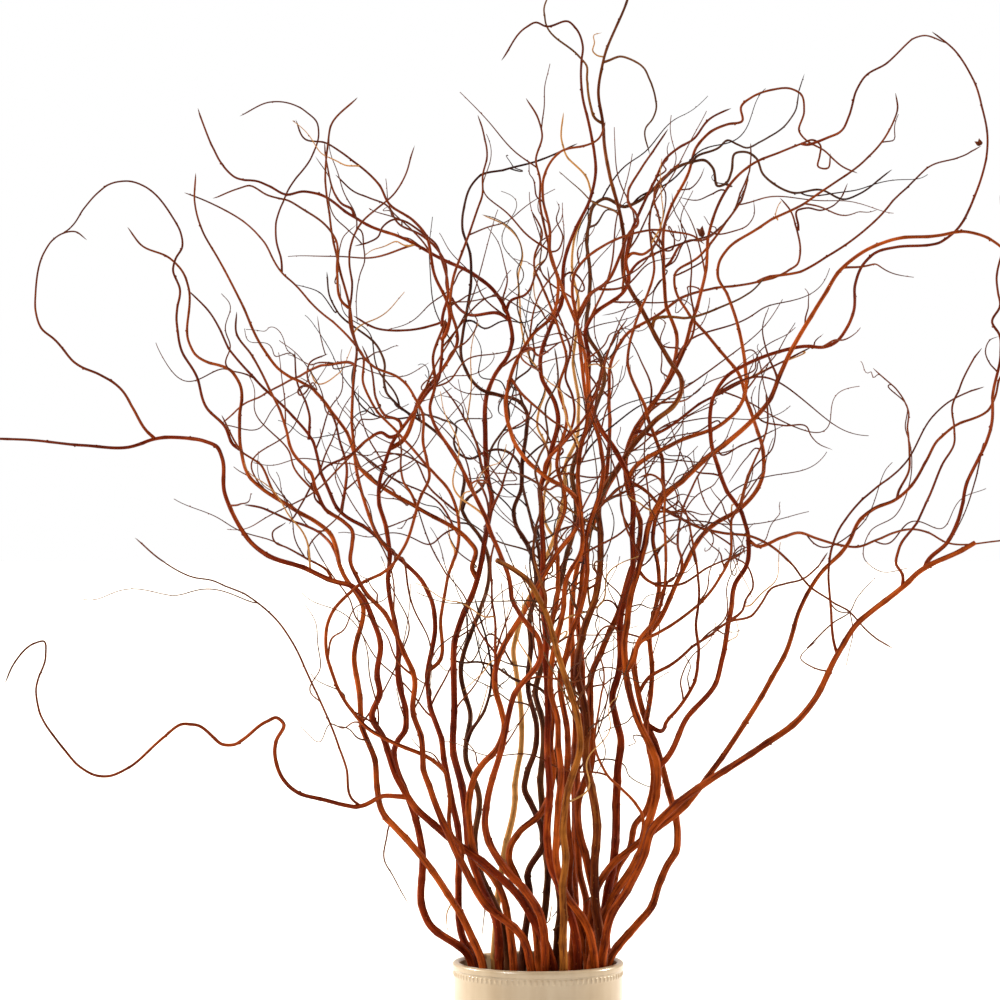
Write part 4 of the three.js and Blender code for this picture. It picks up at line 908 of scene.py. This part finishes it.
TWIGS = (
    ((138, 1000), (150, 1010), (157, 1025), (163, 1037), (158, 1050), (150, 1065), (147, 1085)),
    ((70, 950), (85, 953), (98, 958), (125, 975), (137, 990)),
    ((125, 955), (127, 975), (140, 1000)),
    ((110, 790), (125, 808), (150, 817), (175, 822), (200, 832)),
    ((140, 845), (147, 825), (153, 808), (160, 792), (165, 775)),
    ((200, 798), (225, 808), (240, 813), (258, 824)),
    ((8, 1012), (-3, 1003), (-5, 985), (-2, 965), (8, 950)),
    ((42, 1025), (45, 1045), (55, 1065), (60, 1075)),
    ((50, 1000), (55, 1030), (62, 1075)),
    ((25, 985), (20, 960), (10, 945), (12, 925)),
    ((-36, 838), (-43, 843), (-43, 852), (-36, 862)),
    ((-38, 763), (-18, 765), (0, 773)),
    ((43, 765), (58, 769), (70, 772)),
    ((-41, 660), (-39, 640), (-36, 615), (-35, 600), (-38, 585), (-46, 574)),
    ((-163, 718), (-145, 725), (-130, 730)),
    ((-243, 950), (-240, 930), (-235, 910)),
    ((-195, 1030), (-210, 1045), (-225, 1060), (-230, 1075), (-228, 1095), (-245, 1125)),
    ((-222, 955), (-240, 975), (-270, 985)),
    ((-168, 780), (-175, 795), (-185, 812), (-197, 850), (-198, 870)),
    ((68, 490), (85, 498), (98, 503), (105, 510)),
    ((-142, 301), (-151, 317), (-160, 334), (-169, 350), (-166, 381), (-165, 395)),
    ((-196, 613), (-208, 639), (-227, 665), (-243, 691), (-250, 705)),
    ((-226, 894), (-200, 895), (-183, 888), (-149, 883), (-120, 898)),
    ((-93, 308), (-100, 294), (-100, 273)),
    ((-75, 328), (-68, 314), (-59, 298), (-60, 285), (-62, 266)),
    ((2, 311), (7, 319), (12, 328)),
    ((-76, 487), (-62, 518), (-54, 548)),
    ((-83, 537), (-62, 556), (-47, 570)),
    ((-87, 489), (-69, 468), (-66, 456)),
    ((8, 282), (16, 305)),
    ((12, 283), (24, 307)),
    ((11, 271), (29, 284)),
    ((27, 250), (33, 266)),
    ((48, 301), (63, 321)),
    ((51, 489), (55, 523), (60, 558), (73, 593)),
    ((60, 440), (74, 468), (66, 500), (76, 530), (70, 560)),
    ((319, 559), (300, 564), (289, 572), (307, 593)),
    ((-39, 561), (-30, 551), (-18, 546), (-6, 546)),
    ((-102, 715), (-88, 690), (-69, 673)),
    ((20, 1076), (23, 1070), (20, 1057), (27, 1035), (20, 1021)),
    (
        (-62, 1061), (-48, 1057), (-25, 1040), (-18, 1014), (-23, 1000), (-21, 979), (-23, 962),
        (-12, 927), (-2, 892),
    ),
    ((154, 1086), (168, 1090), (178, 1101), (183, 1113)),
    ((154, 1080), (176, 1077), (190, 1083), (204, 1088)),
    ((237, 1078), (237, 1059), (230, 1049), (216, 1043), (190, 1042)),
    ((65, 1236), (60, 1241), (62, 1250), (61, 1258), (70, 1261)),
    (
        (412, 673), (375, 669), (359, 682), (365, 712), (393, 730), (408, 763), (409, 809), (404, 826),
        (406, 850), (387, 874),
    ),
    ((507, 927), (497, 923), (492, 911), (497, 897), (505, 888)),
    ((454, 702), (470, 735), (481, 769), (491, 807)),
    ((296, 584), (326, 613), (343, 624), (350, 638), (371, 662)),
    ((242, 838), (270, 829), (296, 827), (300, 818), (307, 810), (324, 802)),
    ((196, 798), (237, 813), (270, 829)),
    ((209, 765), (230, 794), (241, 804)),
    ((232, 912), (250, 867), (260, 831)),
    ((258, 907), (244, 874), (241, 839)),
    ((199, 862), (227, 879), (251, 891), (291, 910)),
    ((194, 857), (162, 837), (129, 802)),
    ((290, 1207), (293, 1216)),
    ((304, 920), (314, 930)),
    ((-199, 940), (-200, 970), (-196, 995), (-191, 1010), (-192, 1025), (-197, 1045)),
    ((-222, 985), (-220, 1000), (-218, 1025), (-215, 1035), (-200, 1050)),
    ((138, 990), (136, 1010), (133, 1040), (138, 1060), (140, 1085), (131, 1105)),
    ((222, 740), (228, 760), (235, 780), (258, 805), (261, 822), (256, 845), (252, 860)),
    ((122, 560), (127, 580), (133, 600), (137, 625)),
    ((99, 628), (112, 632), (124, 628), (134, 632), (140, 645)),
    (
        (150, 995), (170, 1003), (183, 1012), (188, 1025), (205, 1050), (215, 1065), (225, 1085),
        (232, 1100),
    ),
    ((120, 795), (140, 792), (160, 790), (180, 788), (195, 786)),
    ((-204, 803), (-193, 795), (-180, 785), (-172, 778)),
)

LEAF_TUFTS = ((484, 1143), (180, 1039))
LEAVES_IN_TUFT = 3


def drawn_points(points):
    """Where points are drawn on the plane y = 0, seen from EYE, as x and z."""
    share = EYE[1] / (EYE[1] - points[:, 1])
    return (EYE + (points - EYE) * share[:, None])[:, [0, 2]]


def carried_points(drawn, depth):
    """Points in space at the given depths that are drawn at the given x and z."""
    flat = np.stack([drawn[:, 0], np.zeros(len(drawn)), drawn[:, 1]], axis=1)
    share = (depth - EYE[1]) / -EYE[1]
    return EYE + (flat - EYE) * share[:, None]


def nearest_place(curves, spot):
    """The curve and the point on it that are drawn nearest to a spot."""
    best = (math.inf, 0, 0)
    for number, (_, curve, _) in enumerate(curves):
        away = np.linalg.norm(drawn_points(curve) - spot, axis=1)
        at = int(np.argmin(away))
        best = min(best, (float(away[at]), number, at))
    return best


def draw_twigs(curves, random, settings):
    """The twigs of TWIGS, as (name of the stem they grow on, shapes)."""
    made = []
    for route in TWIGS:
        drawn = np.array(route) * MM
        away, number, at = nearest_place(curves, drawn[0])
        last = nearest_place(curves, drawn[-1])
        if last[0] < away:
            drawn = drawn[::-1]
            away, number, at = last
        name, curve, thick = curves[number]
        start = curve[at]
        if away < 0.012:
            drawn = np.concatenate([drawn_points(start[None]), drawn])
        run = np.concatenate([[0], np.cumsum(np.linalg.norm(np.diff(drawn, axis=0), axis=1))])
        lean = random.uniform(-0.35, 0.35)
        depth = start[1] + lean * run + 0.006 * np.sin(run / 0.03)
        base = min(random.uniform(*DRAWN_ROOT), max(thick[at], DRAWN_ROOT[0]))
        radii = np.linspace(base, DRAWN_TIP, len(drawn))
        path, widths = smooth_line(carried_points(drawn, depth), radii, DRAWN_STEP)
        widths = taper_tip(run_lengths(path), widths, False)
        tone = GOLDEN_HIGHLIGHT_TONE if random.random() < GOLDEN_HIGHLIGHT_DRAWN else random.uniform(0, 0.8)
        shapes = [sweep(path, widths, DRAWN_SIDES, tone)]
        shapes += twig_buds(path, widths, random, settings)
        made.append((name, shapes))
    return made


def draw_tufts(curves, random):
    """Tufts of small dried leaves, as (name of the stem they grow on, shapes)."""
    made = []
    for spot in LEAF_TUFTS:
        _, number, at = nearest_place(curves, np.array(spot) * MM)
        name, curve, _ = curves[number]
        count = LEAVES_IN_TUFT
        heading = unit(random.normal(0, 0.45, (count, 3)) + [0, 0, 1.0])
        out = unit(np.cross(heading, random.normal(0, 1, (count, 3))))
        places = curve[at] + heading * 0.001
        sizes = random.uniform(0.008, 0.013, count)
        made.append((name, [place_buds(places, heading, out, sizes, 0.0, 0.0)]))
    return made


def grow_stems(settings):
    """The shapes of each stem by its name, and the curves (name, points, radii) they follow."""
    shapes = {name: [] for name in STEMS}
    curves = []
    for number, name in enumerate(STEMS):
        random = np.random.default_rng(100 + number)
        for order, (points, radii, root) in enumerate(trace_lines(frame["nodes"][name])):
            tone = GOLDEN_HIGHLIGHT_TONE if name in GOLDEN_HIGHLIGHT_STEMS else float(random.uniform(0, 1))
            if root is not None:
                points = np.concatenate([[root], points])
                radii = np.concatenate([[radii[0] * ROOT_GIRTH], radii])
            cut = order == 0 and name in CUT_STEMS
            made, curve, thick = grow_line(points, radii, random, tone, cut, settings)
            shapes[name] += made + grow_twigs(curve, thick, random, settings)
            curves.append((name, curve, thick))
    return shapes, curves


class WILLOW_OT_stems(bpy.types.Operator):
    """Grow each stem along its solid, with swollen joints, buds, curled twigs and tapered tips"""

    bl_idname = "willow.stems"
    bl_label = "Grow the stems"

    def execute(self, context):
        settings = context.scene.willow_stems
        shapes, curves = grow_stems(settings)
        random = np.random.default_rng(7)
        for name, made in draw_twigs(curves, random, settings) + draw_tufts(curves, random):
            shapes[name] += made
        barks = make_barks(settings)
        for name in STEMS:
            slot = SLOTS[name]
            piece = make_piece(name.replace("_stem", "_willow"), shapes[name], barks[slot])
            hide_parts(name)
        return {"FINISHED"}


# --------------------------------------------------------------------------------------------
# Vase


def revolve(outline, sides, relief=None):
    """A closed surface of revolution: the corner at turn a and outline point i is
    ((r_i + relief) cos a, (r_i + relief) sin a, z_i). The outline starts and ends on the axis.
    """
    radius, height = np.array(outline).T
    angle = np.arange(sides) * 2 * math.pi / sides
    reach = np.repeat(radius[:, None], sides, axis=1)
    if relief is not None:
        reach = reach + relief(angle[None, :], height[:, None], radius[:, None])
    corners = np.stack(
        [reach * np.cos(angle), reach * np.sin(angle), np.repeat(height[:, None], sides, axis=1)], axis=2
    )
    k, j, quads, caps = tube_faces(len(radius), sides)
    run = np.concatenate([[0], np.cumsum(np.hypot(np.diff(radius), np.diff(height)))])
    faces = [(quads, tube_uv(k, j, sides, run)), (caps, np.zeros((2, sides, 2)))]
    return {"corners": corners.reshape(-1, 3), "faces": faces}


def arc(centre_r, centre_z, radius, start, end, count):
    """Points of an arc of the outline, from one angle to another in degrees."""
    angle = np.radians(np.linspace(start, end, count))
    return [(centre_r + radius * math.cos(a), centre_z + radius * math.sin(a)) for a in angle]


def vase_outline():
    """The section of the vase from the middle of its underside, round the outside and the lip,
    and down the inside to the middle of its floor, in metres."""
    height = MOUTH
    wall, lip, inner = WALL_RADIUS, LIP_RADIUS, INNER_RADIUS
    outline = [(0.0004, 0.0035), (0.05, 0.0035), (0.082, 0.0034)]
    outline += arc(0.0862, 0.0016, 0.0016, 180, 270, 5)
    outline += arc(wall - 0.0042, 0.0034, 0.0034, 290, 360, 7)
    outline += [(wall - 0.0004, 0.006), (wall, 0.010)]
    outline += [(wall, z) for z in np.linspace(0.02, height - 0.0165, 12)]
    outline += [(wall, z) for z in np.linspace(height - 0.0155, height - 0.0095, 11)]
    outline += [(wall + 0.0001, height - 0.0088), (wall + 0.0006, height - 0.0083)]
    outline += arc(lip - 0.0014, height - 0.0066, 0.0014, -80, 0, 6)
    outline += [(lip, height - 0.005), (lip, height - 0.0036)]
    outline += arc(lip - 0.0034, height - 0.0034, 0.0034, 0, 90, 9)
    outline += [(lip - 0.0045, height)]
    outline += arc(inner + 0.003, height - 0.003, 0.003, 90, 180, 7)
    outline += [(inner, z) for z in np.linspace(height - 0.012, 0.022, 10)]
    outline += arc(inner - 0.009, 0.0195, 0.009, 0, -90, 8)
    outline += [(0.05, 0.0102), (0.0004, 0.0101)]
    return outline


class WILLOW_OT_vase(bpy.types.Operator):
    """Make the straight-sided glazed vase with its rounded lip and its row of beads"""

    bl_idname = "willow.vase"
    bl_label = "Make the vase"

    def execute(self, context):
        settings = context.scene.willow_vase
        middle = MOUTH - BEAD_DROP

        def relief(angle, height, radius):
            """Beads on the outside under the lip, and a hand's slight unevenness of the wall."""
            tall = np.clip(1 - ((height - middle) / BEAD_HALF) ** 2, 0, 1) ** 0.5
            round_bead = np.clip(np.cos(settings.beads * angle), 0, 1) ** 0.7
            outside = radius > OUTSIDE_FROM
            uneven = 0.0002 * np.sin(2 * angle + 18 * height)
            uneven = uneven + 0.00012 * np.sin(5 * angle - 31 * height)
            return outside * (settings.bead_height * tall * round_bead + uneven)

        shape = revolve(vase_outline(), settings.beads * 10, relief)
        glaze = make_glaze("cream_willow_glaze", settings.glaze)
        piece = make_piece("glazed_vase", [shape], glaze)
        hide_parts(VASE)
        return {"FINISHED"}


# --------------------------------------------------------------------------------------------
# Stage


def add_sun(name, towards, strength, spread, colour=(1.0, 1.0, 1.0)):
    """A soft sun lamp that shines along a direction."""
    lamp = bpy.data.lights.new(name, "SUN")
    lamp.energy = strength
    lamp.color = colour
    lamp.angle = math.radians(spread)
    holder = bpy.data.objects.new(name, lamp)
    holder.rotation_euler = Vector(towards).to_track_quat("-Z", "Y").to_euler()
    bpy.context.scene.collection.objects.link(holder)


def make_studio(settings):
    """A white room with warm light, strongest from behind and above and weakest from the front."""
    world = bpy.data.worlds.new("studio")
    world.use_nodes = True
    tree = world.node_tree
    back = tree.nodes["Background"]
    room = (1.0, 0.88, 0.80)
    split = add_node(tree, "ShaderNodeSeparateXYZ")
    place = add_node(tree, "ShaderNodeTexCoord").outputs["Generated"]
    tree.links.new(place, split.inputs[0])
    behind = ranged(tree, split.outputs[1], -0.6, 0.7, settings.front_fill, settings.back_fill)
    above = ranged(tree, split.outputs[2], 0.0, 1.0, 0.0, settings.top_fill)
    glow = maths(tree, "ADD", behind, above)
    seen = add_node(tree, "ShaderNodeLightPath").outputs["Is Camera Ray"]
    tree.links.new(maths(tree, "MAXIMUM", glow, seen), back.inputs[1])
    tree.links.new(mix_colours(tree, seen, room, (1.0, 1.0, 1.0)), back.inputs[0])
    return world


class WILLOW_OT_stage(bpy.types.Operator):
    """Lay the pale floor, set the soft light and place the camera"""

    bl_idname = "willow.stage"
    bl_label = "Set the stage"

    def execute(self, context):
        settings = context.scene.willow_stage
        angle = np.arange(64) * 2 * math.pi / 64
        rim = np.stack([np.cos(angle), np.sin(angle), np.zeros(64)], axis=1) * FLOOR_RADIUS
        mesh = bpy.data.meshes.new("floor")
        mesh.from_pydata(rim, [], [list(range(64))])
        material, _, shader = start_material("floor_paper", 0.8)
        shader.inputs["Base Color"].default_value = (*settings.floor_colour, 1)
        shader.inputs["Specular IOR Level"].default_value = 0.0
        mesh.materials.append(material)
        floor = bpy.data.objects.new("floor", mesh)
        context.scene.collection.objects.link(floor)
        context.scene.world = make_studio(settings)
        amber = (1.0, 0.90, 0.74)
        add_sun("key_light", (0.6, 0.5, -0.7), settings.key_strength, 14)
        add_sun("left_rim_light", (0.85, -0.3, -0.45), settings.rim_strength, 12, amber)
        add_sun("right_rim_light", (-0.85, -0.3, -0.4), settings.rim_strength, 12, amber)
        context.scene.view_settings.view_transform = "Standard"
        camera = bpy.data.cameras.new("camera")
        camera.lens = LENS
        camera.sensor_width = SENSOR
        camera.clip_end = 200
        holder = bpy.data.objects.new("camera", camera)
        holder.location = tuple(EYE)
        holder.rotation_euler = (math.pi / 2, 0, 0)
        context.scene.collection.objects.link(holder)
        context.scene.camera = holder
        return {"FINISHED"}


# --------------------------------------------------------------------------------------------
# Add-on


class WILLOW_PT_panel(bpy.types.Panel):
    """The settings and the steps, in the sidebar."""

    bl_idname = "WILLOW_PT_panel"
    bl_label = "Willow stems in a vase"
    bl_space_type = "VIEW_3D"
    bl_region_type = "UI"
    bl_category = "Willow"

    def draw(self, context):
        for settings, step in (
            (context.scene.willow_stage, "willow.stage"),
            (context.scene.willow_vase, "willow.vase"),
            (context.scene.willow_stems, "willow.stems"),
        ):
            box = self.layout.box()
            for field in type(settings).__annotations__:
                box.prop(settings, field)
            box.operator(step)


CLASSES = (
    StemSettings,
    VaseSettings,
    StageSettings,
    WILLOW_OT_stage,
    WILLOW_OT_stems,
    WILLOW_OT_vase,
    WILLOW_PT_panel,
)


def register():
    """Add the settings, the steps and the panel."""
    for item in CLASSES:
        bpy.utils.register_class(item)
    bpy.types.Scene.willow_stems = PointerProperty(type=StemSettings)
    bpy.types.Scene.willow_vase = PointerProperty(type=VaseSettings)
    bpy.types.Scene.willow_stage = PointerProperty(type=StageSettings)


def unregister():
    """Take them away again."""
    del bpy.types.Scene.willow_stage
    del bpy.types.Scene.willow_vase
    del bpy.types.Scene.willow_stems
    for item in reversed(CLASSES):
        bpy.utils.unregister_class(item)


def main():
    """Set the stage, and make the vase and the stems."""
    register()
    bpy.ops.willow.stage()
    bpy.ops.willow.vase()
    bpy.ops.willow.stems()


if __name__ == "__main__":
    main()
